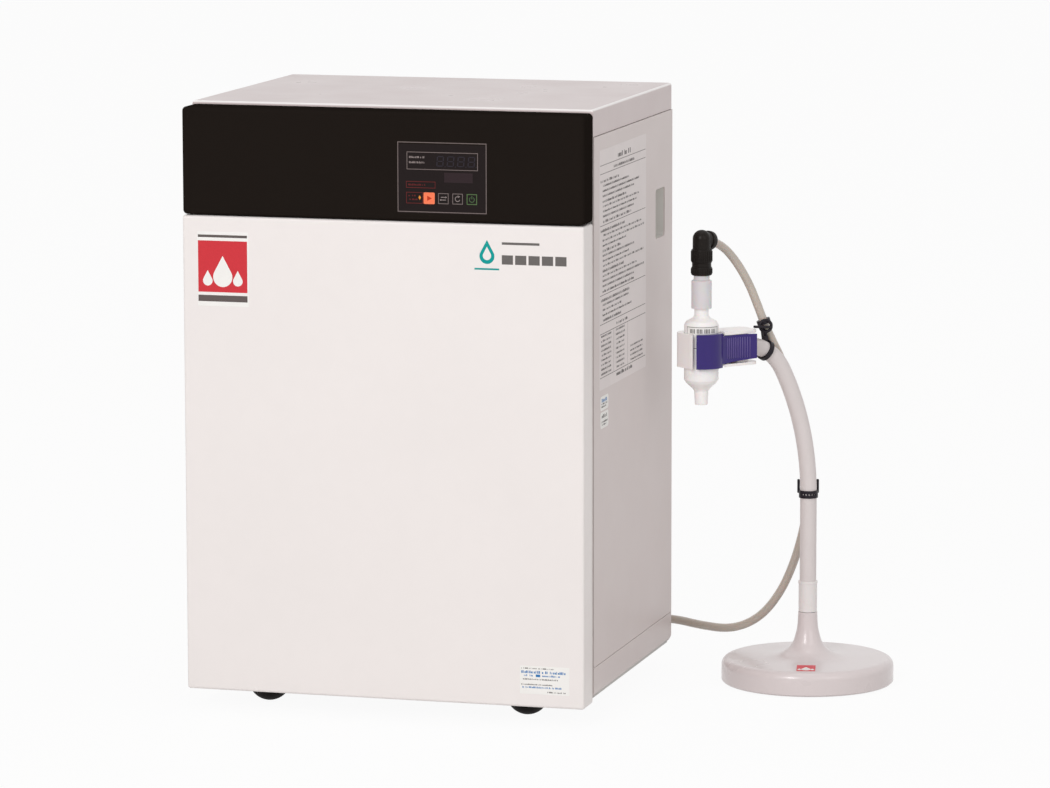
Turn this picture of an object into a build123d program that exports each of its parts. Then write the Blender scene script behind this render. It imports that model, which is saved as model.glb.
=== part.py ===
from build123d import *
import math
import os

# Laboratory water purifier: a bench cabinet with a hinged front door and a control panel, and a
# round-footed dispensing stand beside it whose arm holds the final filter on a hose.
# Millimetres, +Z up, the front looks along -Y. The origin is the bottom centre of the whole object.

# Cabinet, overall
CABINET_W = 380.0
CABINET_D = 320.0
CABINET_H = 560.0
SHEET = 1.5
CORNER_R = 3.0
SEAM = 1.5
DOOR_GAP = 0.8

# Front shells: the black control panel above the white door
SHELL_DEPTH = 30.0
SHELL_INSET = 1.0
DOOR_ROUND = 2.5
PANEL_ROUND = 4.0
DOOR_BOTTOM = 20.0
PANEL_H = 98.0
PANEL_BELOW_TOP = 3.0
PANEL_TOP = CABINET_H - PANEL_BELOW_TOP
PANEL_BOTTOM = PANEL_TOP - PANEL_H
DOOR_TOP = PANEL_BOTTOM - DOOR_GAP
PANEL_WALL = 3.0

# Casing
TRAY_BOTTOM = 23.0
SKIRT_TOP = 52.5
TRAY_FLOOR = 2.0
TRAY_REAR_ROUND = 8.0
CASING_GAP = 0.5
LIP_H = 24.5
LIP_BOTTOM = CABINET_H - LIP_H
COVER_ROUND = 2.8
REAR_RETURN = 12.0
FRAME_BORDER = 22.0
FRAME_SILL = 62.0
SHELF_BELOW_PANEL = 19.0
SHELF_Z = PANEL_BOTTOM - SHELF_BELOW_PANEL
FRAME_HEAD_BELOW_SHELF = 4.0
FRAME_HEAD = SHELF_Z - FRAME_HEAD_BELOW_SHELF

# Feet
FOOT_R = 17.5
FOOT_DOME_R = 20.0
FOOT_TIP_R = 4.5
FOOT_IN_LEFT = 59.0
FOOT_IN_RIGHT = 72.0
FOOT_IN_Y = 66.0
FOOT_BACK_IN_Y = 50.0

# Grip cups in both side panels
GRIP_Y = 254.0
GRIP_W = 35.0
GRIP_BELOW_TOP = 141.5
GRIP_Z = CABINET_H - GRIP_BELOW_TOP
GRIP_H = 46.5
GRIP_DEPTH = 22.0
GRIP_WALL = 1.5
GRIP_FLANGE = 5.0
GRIP_ROUND = 4.0

# Control window, keys and display, placed from the cabinet's right side and the panel's lower edge
WINDOW_FROM_SIDE = 174.3
WINDOW_X = CABINET_W - WINDOW_FROM_SIDE
WINDOW_W = 83.5
WINDOW_ABOVE_PANEL = 7.5
WINDOW_Z = PANEL_BOTTOM + WINDOW_ABOVE_PANEL
WINDOW_H = 62.0
WINDOW_ROUND = 1.5
OVERLAY_T = 1.0
KEY_SIZE = 10.4
KEY_ROUND = 1.0
KEY_IN = 29.7
KEY_X = WINDOW_X + KEY_IN
KEY_PITCH = 13.3
KEY_UP = 13.5
KEY_Z = WINDOW_Z + KEY_UP
KEY_GAP = 0.15
KEY_RELIEF = 0.9
KEY_STEM_R = 1.6
STEM_GAP = 0.25
SWITCH_GAP = 0.6
DISPLAY_IN = 8.8
DISPLAY_X = WINDOW_X + DISPLAY_IN
DISPLAY_W = 66.5
DISPLAY_UP = 38.0
DISPLAY_Z = WINDOW_Z + DISPLAY_UP
DISPLAY_H = 15.5
BOARD_Y = 12.0
BOARD_T = 1.6
BOARD_MARGIN = 3.0
SWITCH_SIZE = 6.0
SWITCH_BODY = 3.5
SWITCH_TIP = 0.9
SWITCH_TIP_R = 1.7
MODULE_FRONT = 3.6
STANDOFF_R = 3.0
BOSS_R = 5.0
BOSS_INSET = 11.0

# Door hinge, catch and lining
HINGE_IN = 6.5
HINGE_SWING_R = 6.0
PIN_R = 2.5
PIN_FIT = 0.05
BRACKET_T = 2.5
BRACKET_HALF = 5.0
BRACKET_FOOT_H = 26.0
BRACKET_CLEAR = 1.5
BUSH_R = 5.0
BUSH_H = 3.0
NOTCH_DEPTH = 16.0
NOTCH_CLEAR = 2.5
CATCH_Z = 250.0
CATCH_H = 40.0
CATCH_W = 14.0
CATCH_D = 9.0
STRIKER_T = 2.0
STRIKER_GAP = 0.3
LINER_INSET_X = 22.0
LINER_INSET_Z = 22.0
LINER_T = 9.0
LINER_RIB = 2.0
LINER_RIBS = 5

# Cartridges and their heads under the shelf
VALVE_FROM_SIDE = 35.0
VALVE_X = CABINET_W - VALVE_FROM_SIDE
PRE_R = 45.0
PRE_FROM_VALVE = 83.0
PRE_X = VALVE_X - PRE_FROM_VALVE
DEION_R = 60.0
CARTRIDGE_GAP = 32.0
DEION_X = PRE_X - PRE_R - DEION_R - CARTRIDGE_GAP
DEION_BOTTOM = 66.0
PRE_BOTTOM = 96.0
CARTRIDGE_Y = 150.0
SHOULDER_DROP = 48.0
SHOULDER_Z = SHELF_Z - SHOULDER_DROP
DOME_H = 22.0
NECK_R = 22.0
NECK_FIT = 0.3
NECK_DROP = 12.0
NECK_TOP = SHELF_Z - NECK_DROP
HEAD_R = 40.0
HEAD_H = 38.0
HEAD_BOTTOM = SHELF_Z - HEAD_H
HEAD_ROUND = 3.0
LUG_DROP = 28.0
LUG_Z = SHELF_Z - LUG_DROP
LUG_H = 4.0
LUG_OUT = 5.0
LUG_W = 12.0
LUG_PLAY = 0.3
PORT_DROP = 16.0
PORT_Z = SHELF_Z - PORT_DROP
PORT_R = 7.0
PORT_LENGTH = 10.0
GRIP_RIB_OUT = 1.2
GRIP_RIBS = 24

# Water path parts
TUBE_R = 4.0
VALVE_Y = 235.0
VALVE_Z = 110.0
VALVE_W = 34.0
VALVE_D = 50.0
VALVE_H = 28.0
COIL_W = 30.0
COIL_H = 40.0
COIL_BORE = 5.0
PLUNGER_R = 4.9
PLUNGER_H = 18.0
VALVE_SPRING_TURNS = 6
VALVE_SPRING_WIRE = 0.4
VALVE_SPRING_R = 3.2
REGULATOR_DROP = 110.0
REGULATOR_Z = SHELF_Z - REGULATOR_DROP
REGULATOR_Y = 150.0
REGULATOR_W = 36.0
REGULATOR_H = 44.0
KNOB_R = 14.0
KNOB_L = 20.0
KNOB_GAP = 0.5
KNOB_FLUTES = 12
CELL_W = 40.0
CELL_D = 30.0
CELL_H = 34.0
OUTLET_FROM_SIDE = 42.0
OUTLET_X = CABINET_W - OUTLET_FROM_SIDE
CELL_FROM_OUTLET = 103.0
CELL_X = OUTLET_X - CELL_FROM_OUTLET
OUTLET_Z = 41.0
OUTLET_OUT = 23.0
OUTLET_STEP = 1.0
OUTLET_MOUTH = 14.0
OUTLET_KNEE_ROUND = 2.0
OUTLET_NUT_R = 10.0
OUTLET_NUT_T = 5.0
INLET_R = 10.5
INLET_LENGTH = 20.0
INLET_INSIDE = 14.0
INLET_FIT = 0.5
NUT_R = 14.0
NUT_T = 6.0

# Electric parts
SUPPLY_FROM_SIDE = 230.0
SUPPLY_X = CABINET_W - SUPPLY_FROM_SIDE
SUPPLY_W = 160.0
SUPPLY_D = 95.0
SUPPLY_H = 40.0
SUPPLY_Y = 190.0
SOCKET_X = 112.0
SOCKET_ABOVE_SHELF = 46.0
SOCKET_Z = SHELF_Z + SOCKET_ABOVE_SHELF
SOCKET_W = 48.0
SOCKET_H = 28.0
SOCKET_DEEP = 22.0
SOCKET_MOUTH_W = 24.5
SOCKET_MOUTH_H = 17.0
SOCKET_MOUTH_DEEP = 16.0
BREAKER_X = 68.0
BREAKER_W = 22.0
BREAKER_H = 30.0
BREAKER_DEEP = 34.0
ROCKER_W = 12.0
ROCKER_H = 20.0
ROCKER_TILT = 12.0
ROCKER_AXLE_R = 1.5
ROCKER_THICK = 5.0

# Rear vents
VENT_W = 60.0
VENT_SLOT = 3.0
VENT_PITCH = 8.0
VENT_COUNT = 9
VENT_FROM_SIDE = 130.0
VENT_X = CABINET_W - VENT_FROM_SIDE
VENT_ABOVE_SHELF = 22.0
VENT_Z = SHELF_Z + VENT_ABOVE_SHELF

# Dispensing stand, placed from the cabinet's right side and its front face
POLE_FROM_SIDE = 143.0
POLE_FROM_FRONT = 276.0
BASE_R = 81.0
BASE_H = 24.0
BASE_ROUND = 7.0
PAD_T = 1.5
PAD_R = 72.0
BASE_CROWN = 0.8
FLARE_R = 46.0
FLARE_PROFILE = [(28.0, 3.3), (19.5, 7.6), (13.6, 15.0), (11.2, 22.5)]
SOCKET_TOP_R = 9.0
SOCKET_TOP_Z = 67.5
COLLAR_R = 8.7
COLLAR_TOP = 97.0
COLLAR_RING = 2.5
ARM_SEAT_DEPTH = 17.0
SPINDLE_R = 4.0
SPINDLE_FIT = 0.05
ARM_FIT = 0.02
SPINDLE_BOTTOM = 30.0
SOCKET_GAP = 0.4
ARM_R = 7.8
CORE_R = 3.0
ARM_STRAIGHT_TOP = 180.0
ARM_BEND_R = 252.0
ARM_BEND_DEG = 28.5
ARM_TIP_BEND_R = 49.0
ARM_TIP_LENGTH = 12.0
ARM_AZIMUTH = 48.0

# Filter clamp, in its own axes: a runs from the filter to the arm, b to the front right
FILTER_REACH = 122.0
CLAMP_H = 32.0
CLAMP_PLATE_T = 2.5
JAW_R = 21.0
JAW_BORE_R = 16.3
JAW_FLAT = 2.0
JAW_CORNER = 9.0
JAW_LEVER_START = 53.0
JAW_LEVER_END = 137.0
JAW_BODY_START = 146.0
JAW_BODY_END = 380.0
PLATE_A = 55.0
PLATE_B = 15.0
PLATE_TAIL = 9.0
WEB_T = 3.0
WEB_START = 8.0
LEVER_END_A = 49.0
LEVER_END_B = 19.5
LEVER_WAIST_A = 27.0
LEVER_WAIST_B = 15.0
LEVER_T = 3.0
LEVER_TAPER = 4.0
CLAMP_PIN_A = 22.0
CLAMP_PIN_B = 9.0
CLAMP_PIN_R = 1.5
LEVER_EAR_R = 3.5
CLAMP_SPRING_H = 7.0
CLAMP_SPRING_R = 2.4
CLAMP_SPRING_WIRE = 0.4
CLAMP_SPRING_TURNS = 5
LEVER_GAP = 0.4
SOCKET_BLOCK_A = 34.0
SOCKET_BLOCK_B = 9.0

# Final filter capsule and the elbow on it
FILTER_R = 16.0
FILTER_BODY_BOTTOM = 296.0
FILTER_BODY_H = 55.5
FILTER_BODY_TOP = FILTER_BODY_BOTTOM + FILTER_BODY_H
FILTER_TAPER_H = 7.5
FILTER_TAPER_Z = FILTER_BODY_BOTTOM - FILTER_TAPER_H
FILTER_NOZZLE_R = 6.0
FILTER_NOZZLE_TIP_R = 5.6
FILTER_NOZZLE_H = 13.9
FILTER_NOZZLE_BOTTOM = FILTER_TAPER_Z - FILTER_NOZZLE_H
FILTER_NECK_R = 6.6
FILTER_SHOULDER_H = 6.5
FILTER_NECK_Z = FILTER_BODY_TOP + FILTER_SHOULDER_H
FILTER_NECK_H = 6.3
FILTER_NECK_TOP = FILTER_NECK_Z + FILTER_NECK_H
FILTER_BORE_R = 3.0
FILTER_WALL = 2.0
MEMBRANE_CLEAR = 0.4
SLEEVE_R = 9.4
SLEEVE_WALL = 1.8
SLEEVE_H = 27.0
SLEEVE_TOP = FILTER_NECK_TOP + SLEEVE_H
SLEEVE_THROAT_R = 7.3
SLEEVE_THROAT_H = 3.7
SLEEVE_THROAT_TOP = SLEEVE_TOP + SLEEVE_THROAT_H
SPIGOT_BELOW_TOP = 6.0
ELBOW_R = 8.4
ELBOW_STEM_R = 6.0
ELBOW_NUT_R = 9.6
ELBOW_LOWER_NUT_H = 8.0
ELBOW_LOWER_NUT_TOP = SLEEVE_THROAT_TOP + ELBOW_LOWER_NUT_H
ELBOW_NECK_R = 8.9
ELBOW_NECK_H = 3.5
ELBOW_UPPER_NUT_Z = ELBOW_LOWER_NUT_TOP + ELBOW_NECK_H
ELBOW_UPPER_NUT_H = 12.7
ELBOW_UPPER_NUT_TOP = ELBOW_UPPER_NUT_Z + ELBOW_UPPER_NUT_H
ELBOW_PORT_UP = 8.8
ELBOW_Z = ELBOW_UPPER_NUT_TOP + ELBOW_PORT_UP
ELBOW_TOP = ELBOW_Z + 9.0
ELBOW_PORT_R = 9.0
ELBOW_PORT_REACH = 14.5
ELBOW_PORT_T = 6.0
ELBOW_PORT_AZIMUTH = 70.0
ELBOW_PORT_TILT = 10.0

# Hose: eight millimetre tube from the outlet at the back to the elbow
HOSE_R = 4.0
HOSE_STRAIGHT = 24.0
STRAP_T = 1.2
STRAP_W = 7.0
STRAP_Z = 180.0
UPPER_STRAP_T = 2.0
UPPER_STRAP_W = 4.0
STRAP_CUT = 40.0
UPPER_STRAP_LEAN = 61.0

# Screws
SCREW_HEAD_R = 3.6
SCREW_HEAD_T = 2.2
SCREW_R = 1.9
SCREW_FIT = 0.1
SCREW_LENGTH = 8.0

# Places worked out from the sizes above
OVERALL_W = CABINET_W + POLE_FROM_SIDE + BASE_R
OVERALL_D = POLE_FROM_FRONT + BASE_R
LEFT = -OVERALL_W / 2
RIGHT = LEFT + CABINET_W
FRONT = -OVERALL_D / 2
REAR = FRONT + CABINET_D
SHELL_BACK = FRONT + SHELL_DEPTH
CASING_FRONT = SHELL_BACK + SEAM
FRAME_FRONT = CASING_FRONT + SHEET
FRAME_BACK = FRAME_FRONT + SHEET
REAR_INSIDE = REAR - 2 * SHEET
FLOOR_Z = TRAY_BOTTOM + TRAY_FLOOR
COVER_UNDER = CABINET_H - SHEET
HINGE_X = LEFT + SHELL_INSET + HINGE_IN
HINGE_Y = SHELL_BACK - HINGE_IN
POLE_X = RIGHT + POLE_FROM_SIDE
POLE_Y = FRONT + POLE_FROM_FRONT
ARM_DIR = Vector(math.cos(math.radians(ARM_AZIMUTH)), math.sin(math.radians(ARM_AZIMUTH)), 0)
SIDE_DIR = Vector(ARM_DIR.Y, -ARM_DIR.X, 0)
FILTER_X = POLE_X - FILTER_REACH * ARM_DIR.X
FILTER_Y = POLE_Y - FILTER_REACH * ARM_DIR.Y


def block(x0, x1, y0, y1, z0, z1):
    """A box between two corners, whichever way round they are given."""
    centre = Pos((x0 + x1) / 2, (y0 + y1) / 2, (z0 + z1) / 2)
    return centre * Box(abs(x1 - x0), abs(y1 - y0), abs(z1 - z0))


def rod_x(x0, x1, y, z, r):
    return Pos((x0 + x1) / 2, y, z) * Rot(0, 90, 0) * Cylinder(r, x1 - x0)


def rod_y(x, y0, y1, z, r):
    return Pos(x, (y0 + y1) / 2, z) * Rot(90, 0, 0) * Cylinder(r, y1 - y0)


def rod_z(x, y, z0, z1, r):
    return Pos(x, y, (z0 + z1) / 2) * Cylinder(r, z1 - z0)


def turned(profile):
    """A solid turned about Z from (radius, height) points."""
    outline = Polyline(*[(r, 0, z) for r, z in profile], close=True)
    return revolve(make_face(outline), Axis.Z, 360)


def plan(points, z0, z1):
    """An upright prism over a closed outline of (x, y) points."""
    outline = Polyline(*[(x, y, z0) for x, y in points], close=True)
    return extrude(make_face(outline), amount=z1 - z0, dir=(0, 0, 1))


def save(name, *solids):
    """Write one node: a single solid, or several separate ones."""
    shape = solids[0] if len(solids) == 1 else Compound(children=list(solids))
    export_step(shape, os.path.join("parts", name + ".step"))


# Casing

def feet():
    """Four domed rubber feet, flat where they stand, and the places of their screws."""
    places = [
        (x, y)
        for x in (LEFT + FOOT_IN_LEFT, RIGHT - FOOT_IN_RIGHT)
        for y in (FRONT + FOOT_IN_Y, REAR - FOOT_BACK_IN_Y)
    ]
    dome_z = math.sqrt(FOOT_DOME_R ** 2 - FOOT_TIP_R ** 2)
    foot = rod_z(0, 0, 0, TRAY_BOTTOM, FOOT_R) & Pos(0, 0, dome_z) * Sphere(FOOT_DOME_R)
    save("feet", *[Pos(x, y, 0) * foot for x, y in places])
    return places


def base_tray(foot_places):
    """The bottom pan: its walls are the skirt that shows below the side panels."""
    outer = block(LEFT, RIGHT, CASING_FRONT, REAR, TRAY_BOTTOM, SKIRT_TOP)
    uprights = outer.edges().filter_by(Axis.Z).group_by(Axis.Y)[-1]
    outer = fillet(uprights, CORNER_R)
    low_back = outer.edges().filter_by(Axis.X).group_by(Axis.Y)[-1].group_by(Axis.Z)[0]
    outer = fillet(low_back, TRAY_REAR_ROUND)
    inner = block(LEFT + SHEET, RIGHT - SHEET, FRAME_FRONT, REAR - SHEET, FLOOR_Z, SKIRT_TOP + 1)
    low_inside = inner.edges().filter_by(Axis.X).group_by(Axis.Y)[-1].group_by(Axis.Z)[0]
    inner = fillet(low_inside, TRAY_REAR_ROUND - SHEET)
    tray = outer - inner
    outlet = rod_y(OUTLET_X + LEFT, REAR - 5, REAR + 5, OUTLET_Z, PORT_R)
    holes = [rod_z(x, y, 0, SKIRT_TOP, SCREW_R) for x, y in foot_places]
    save("base_tray", tray - outlet - holes)


def grip_hole(x, grow):
    """The rounded slot of a grip cup through a side panel at x, wider by grow."""
    y0 = FRONT + GRIP_Y - grow
    y1 = FRONT + GRIP_Y + GRIP_W + grow
    slot = block(x - 40, x + 40, y0, y1, GRIP_Z - grow, GRIP_Z + GRIP_H + grow)
    return fillet(slot.edges().filter_by(Axis.X), GRIP_ROUND)


def side_panels():
    """Flat sheets with a return bent round each rear edge and a slot for the hand."""
    for name, side in (("left", -1), ("right", 1)):
        face = LEFT if side < 0 else RIGHT
        inner = face - side * SHEET
        turn_in = face - side * REAR_RETURN
        low, high = SKIRT_TOP + CASING_GAP, LIP_BOTTOM - CASING_GAP
        sheet = block(min(face, inner), max(face, inner), CASING_FRONT, REAR, low, high)
        back = block(min(face, turn_in), max(face, turn_in), REAR - SHEET, REAR, low, high)
        panel = sheet + back
        outside = panel.edges().filter_by(Axis.Z)
        corner = [e for e in outside if abs(e.center().X - face) < 0.01 and e.center().Y > REAR - 0.01]
        panel = fillet(corner, CORNER_R)
        panel = panel - grip_hole(face, 0) - screw_holes()
        save("side_panel_" + name, panel)


def grip_cups():
    """Moulded pockets behind the slots, flanged against the inside of each panel."""
    cups = []
    for side in (-1, 1):
        face = LEFT if side < 0 else RIGHT
        inner = face - side * SHEET
        floor = face - side * GRIP_DEPTH
        outside = face - side * (GRIP_DEPTH + GRIP_WALL)
        flange = inner - side * GRIP_WALL
        shell = grip_hole(face, GRIP_WALL) & block(
            min(inner, outside), max(inner, outside), FRONT, REAR, 0, CABINET_H
        )
        hollow = grip_hole(face, 0) & block(
            min(inner, floor), max(inner, floor), FRONT, REAR, 0, CABINET_H
        )
        rim = grip_hole(face, GRIP_FLANGE) & block(
            min(inner, flange), max(inner, flange), FRONT, REAR, 0, CABINET_H
        )
        cups.append(shell + rim - hollow)
    save("grip_cups", *cups)


def top_cover():
    """The lid: a folded pan whose lips run down both sides and the back."""
    x0, x1 = LEFT + SHELL_INSET, RIGHT - SHELL_INSET
    lid = block(x0, x1, CASING_FRONT, REAR, LIP_BOTTOM, CABINET_H)
    lid = fillet(lid.edges().filter_by(Axis.Z).group_by(Axis.Y)[-1], CORNER_R)
    lid = fillet(lid.edges().group_by(Axis.Z)[-1], COVER_ROUND)
    hollow = block(x0 + SHEET, x1 - SHEET, FRAME_FRONT, REAR - SHEET, LIP_BOTTOM - 1, COVER_UNDER)
    save("top_cover", lid - hollow - screw_holes())


def screw_places():
    """The screws in the back, as (x, z): a column up each side and a row in the lid's lip."""
    places = []
    for x in (LEFT + REAR_RETURN / 2 + 1, RIGHT - REAR_RETURN / 2 - 1):
        for z in (SKIRT_TOP + 30, (SKIRT_TOP + LIP_BOTTOM) / 2, LIP_BOTTOM - 30):
            places.append((x, z))
    for i in range(3):
        places.append((LEFT + 50 + i * (CABINET_W - 100) / 2, (LIP_BOTTOM + CABINET_H) / 2))
    return places


def screw_holes():
    return [rod_y(x, REAR_INSIDE - 2, REAR + 2, z, SCREW_R + SCREW_FIT) for x, z in screw_places()]


def lip_clearance():
    """The room that the lid's side lips take from the upright sheets behind them."""
    inset = SHELL_INSET + SHEET
    z0, z1 = LIP_BOTTOM - 0.5, CABINET_H + 1
    return [block(x - inset, x + inset, FRONT, REAR, z0, z1) for x in (LEFT, RIGHT)]


def rear_cutouts():
    """Every hole through the rear panel, from the parts that sit in it."""
    y0, y1 = REAR_INSIDE - 5, REAR + 5
    cuts = [rod_y(LEFT + VALVE_X, y0, y1, VALVE_Z, INLET_R)]
    for x, z, w, h in (
        (LEFT + SOCKET_X, SOCKET_Z, SOCKET_W, SOCKET_H),
        (LEFT + BREAKER_X, SOCKET_Z, BREAKER_W, BREAKER_H),
    ):
        cuts.append(block(x - w / 2, x + w / 2, y0, y1, z - h / 2, z + h / 2))
    for row in range(VENT_COUNT):
        z = VENT_Z + row * VENT_PITCH
        x = LEFT + VENT_X
        slot = block(x, x + VENT_W, y0, y1, z, z + VENT_SLOT)
        cuts.append(slot)
    return cuts


def rear_panel():
    """The back sheet, behind the returns of the sides, tray and cover."""
    x0, x1 = LEFT + SHEET, RIGHT - SHEET
    sheet = block(x0, x1, REAR_INSIDE, REAR - SHEET, FLOOR_Z + TRAY_REAR_ROUND, COVER_UNDER)
    outlet = rod_y(OUTLET_X + LEFT, REAR_INSIDE - 5, REAR + 5, OUTLET_Z, PORT_R)
    save("rear_panel", sheet - rear_cutouts() - screw_holes() - lip_clearance() - outlet)


def front_frame():
    """The upright frame behind both front shells, open where the cartridges go in."""
    x0, x1 = LEFT + SHEET, RIGHT - SHEET
    sheet = block(x0, x1, FRAME_FRONT, FRAME_BACK, FLOOR_Z, COVER_UNDER)
    way_in = block(
        LEFT + FRAME_BORDER, RIGHT - FRAME_BORDER, FRAME_FRONT - 5, FRAME_BACK + 5, FRAME_SILL, FRAME_HEAD
    )
    way_in = fillet(way_in.edges().filter_by(Axis.Y), 6)
    middle = LEFT + WINDOW_X + WINDOW_W / 2
    wires = block(middle - 25, middle + 25, FRAME_FRONT - 5, FRAME_BACK + 5, WINDOW_Z + 12, WINDOW_Z + 42)
    save("front_frame", sheet - way_in - wires - lip_clearance())


def divider_shelf():
    """The plate that keeps the electric parts above the water, notched round both grip cups."""
    shelf = block(LEFT + SHEET, RIGHT - SHEET, FRAME_BACK, REAR_INSIDE, SHELF_Z, SHELF_Z + SHEET)
    reach = GRIP_DEPTH + GRIP_WALL + 1
    y0 = FRONT + GRIP_Y - GRIP_FLANGE - 1
    y1 = FRONT + GRIP_Y + GRIP_W + GRIP_FLANGE + 1
    for x0, x1 in ((LEFT, LEFT + reach), (RIGHT - reach, RIGHT)):
        shelf = shelf - block(x0, x1, y0, y1, SHELF_Z - 1, SHELF_Z + SHEET + 1)
    save("divider_shelf", shelf)


# Control panel

def key_places():
    return [(LEFT + KEY_X + i * KEY_PITCH, KEY_Z) for i in range(4)]


def square_y(x, z, size, y0, y1, round_r):
    """An upright square prism along Y with rounded long edges."""
    body = block(x - size / 2, x + size / 2, y0, y1, z - size / 2, z + size / 2)
    return fillet(body.edges().filter_by(Axis.Y), round_r)


def window_pocket(y1, shrink):
    """The control window's outline as a prism from the front face back to y1."""
    body = block(
        LEFT + WINDOW_X + shrink,
        LEFT + WINDOW_X + WINDOW_W - shrink,
        FRONT,
        y1,
        WINDOW_Z + shrink,
        WINDOW_Z + WINDOW_H - shrink,
    )
    return fillet(body.edges().filter_by(Axis.Y), WINDOW_ROUND)


def display_prism(y0, y1, shrink):
    x0 = LEFT + DISPLAY_X + shrink
    x1 = LEFT + DISPLAY_X + DISPLAY_W - shrink
    return block(x0, x1, y0, y1, DISPLAY_Z + shrink, DISPLAY_Z + DISPLAY_H - shrink)


def boss_places():
    x0, x1 = LEFT + SHELL_INSET + BOSS_INSET, RIGHT - SHELL_INSET - BOSS_INSET
    z0, z1 = PANEL_BOTTOM + BOSS_INSET, PANEL_TOP - BOSS_INSET
    return [(x, z) for x in (x0, x1) for z in (z0, z1)]


def standoff_places():
    """The posts on the panel's inside that hold the control board at its corners."""
    inset = BOARD_MARGIN + STANDOFF_R + 1
    x0, x1 = LEFT + WINDOW_X + inset, LEFT + WINDOW_X + WINDOW_W - inset
    z0, z1 = WINDOW_Z + inset, WINDOW_Z + WINDOW_H - inset
    return [(x, z) for x in (x0, x1) for z in (z0, z1)]


def rounded_shell(z0, z1, wall, rounding):
    """An open-backed front shell with rounded front edges and corners."""
    x0, x1 = LEFT + SHELL_INSET, RIGHT - SHELL_INSET
    outer = block(x0, x1, FRONT, SHELL_BACK, z0, z1)
    outer = fillet(outer.edges().group_by(Axis.Y)[0] + outer.edges().filter_by(Axis.Y), rounding)
    inner = block(x0 + wall, x1 - wall, FRONT + wall, SHELL_BACK + 1, z0 + wall, z1 - wall)
    return outer - inner


def control_panel_shell():
    shell = rounded_shell(PANEL_BOTTOM, PANEL_TOP, PANEL_WALL, PANEL_ROUND)
    wall_back = FRONT + PANEL_WALL
    bosses = []
    for x, z in boss_places():
        seat = CASING_FRONT if z > LIP_BOTTOM else FRAME_FRONT
        bosses.append(rod_y(x, wall_back, seat, z, BOSS_R))
    posts = [rod_y(x, wall_back, FRONT + BOARD_Y, z, STANDOFF_R) for x, z in standoff_places()]
    shell = shell + bosses + posts
    shell = shell - window_pocket(FRONT + OVERLAY_T, 0)
    shell = shell - display_prism(FRONT, wall_back + 1, 1)
    for x, z in key_places():
        opening = KEY_SIZE + 4 * KEY_GAP
        shell = shell - square_y(x, z, opening, FRONT, FRONT + OVERLAY_T + KEY_RELIEF, KEY_ROUND)
        shell = shell - rod_y(x, FRONT, wall_back + 1, z, KEY_STEM_R + STEM_GAP)
    save("control_panel_shell", shell)


def panel_overlay():
    """The printed sheet over the window: clear over the display, open round each key."""
    sheet = window_pocket(FRONT + OVERLAY_T, 0)
    for x, z in key_places():
        sheet = sheet - square_y(x, z, KEY_SIZE + 2 * KEY_GAP, FRONT - 1, FRONT + OVERLAY_T + 1, KEY_ROUND)
    save("panel_overlay", sheet)


def keys():
    """Four square keys, each a cap in the overlay with a stem to its switch."""
    stem_end = FRONT + BOARD_Y - SWITCH_BODY - SWITCH_TIP - SWITCH_GAP
    for name, (x, z) in zip(("start_key", "unit_key", "clear_key", "power_key"), key_places()):
        cap = square_y(x, z, KEY_SIZE, FRONT, FRONT + OVERLAY_T, KEY_ROUND)
        stem = rod_y(x, FRONT + OVERLAY_T / 2, stem_end, z, KEY_STEM_R)
        save(name, cap + stem)


def control_board():
    board_front = FRONT + BOARD_Y
    x0 = LEFT + WINDOW_X + BOARD_MARGIN
    x1 = LEFT + WINDOW_X + WINDOW_W - BOARD_MARGIN
    z0, z1 = WINDOW_Z + BOARD_MARGIN, WINDOW_Z + WINDOW_H - BOARD_MARGIN
    board = block(x0, x1, board_front, board_front + BOARD_T, z0, z1)
    for x, z in key_places():
        front = board_front - SWITCH_BODY
        half = SWITCH_SIZE / 2
        board = board + block(x - half, x + half, front, board_front, z - half, z + half)
        board = board + rod_y(x, front - SWITCH_TIP, front, z, SWITCH_TIP_R)
    back = board_front + BOARD_T
    board = board + block(x0 + 8, x0 + 22, back, back + 3, z1 - 24, z1 - 10)
    board = board + block(x1 - 24, x1 - 10, back, back + 6, z0 + 4, z0 + 14)
    save("control_board", board)
    display = display_prism(FRONT + MODULE_FRONT, board_front, 1.5)
    save("display_module", display)


# Door

def hinge_levels():
    """The height of each hinge plate, just inside the door's lower and upper flange."""
    low = DOOR_BOTTOM + SHEET + BUSH_H + BRACKET_CLEAR
    high = DOOR_TOP - SHEET - BUSH_H - BRACKET_CLEAR - BRACKET_T
    return low, high


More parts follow.
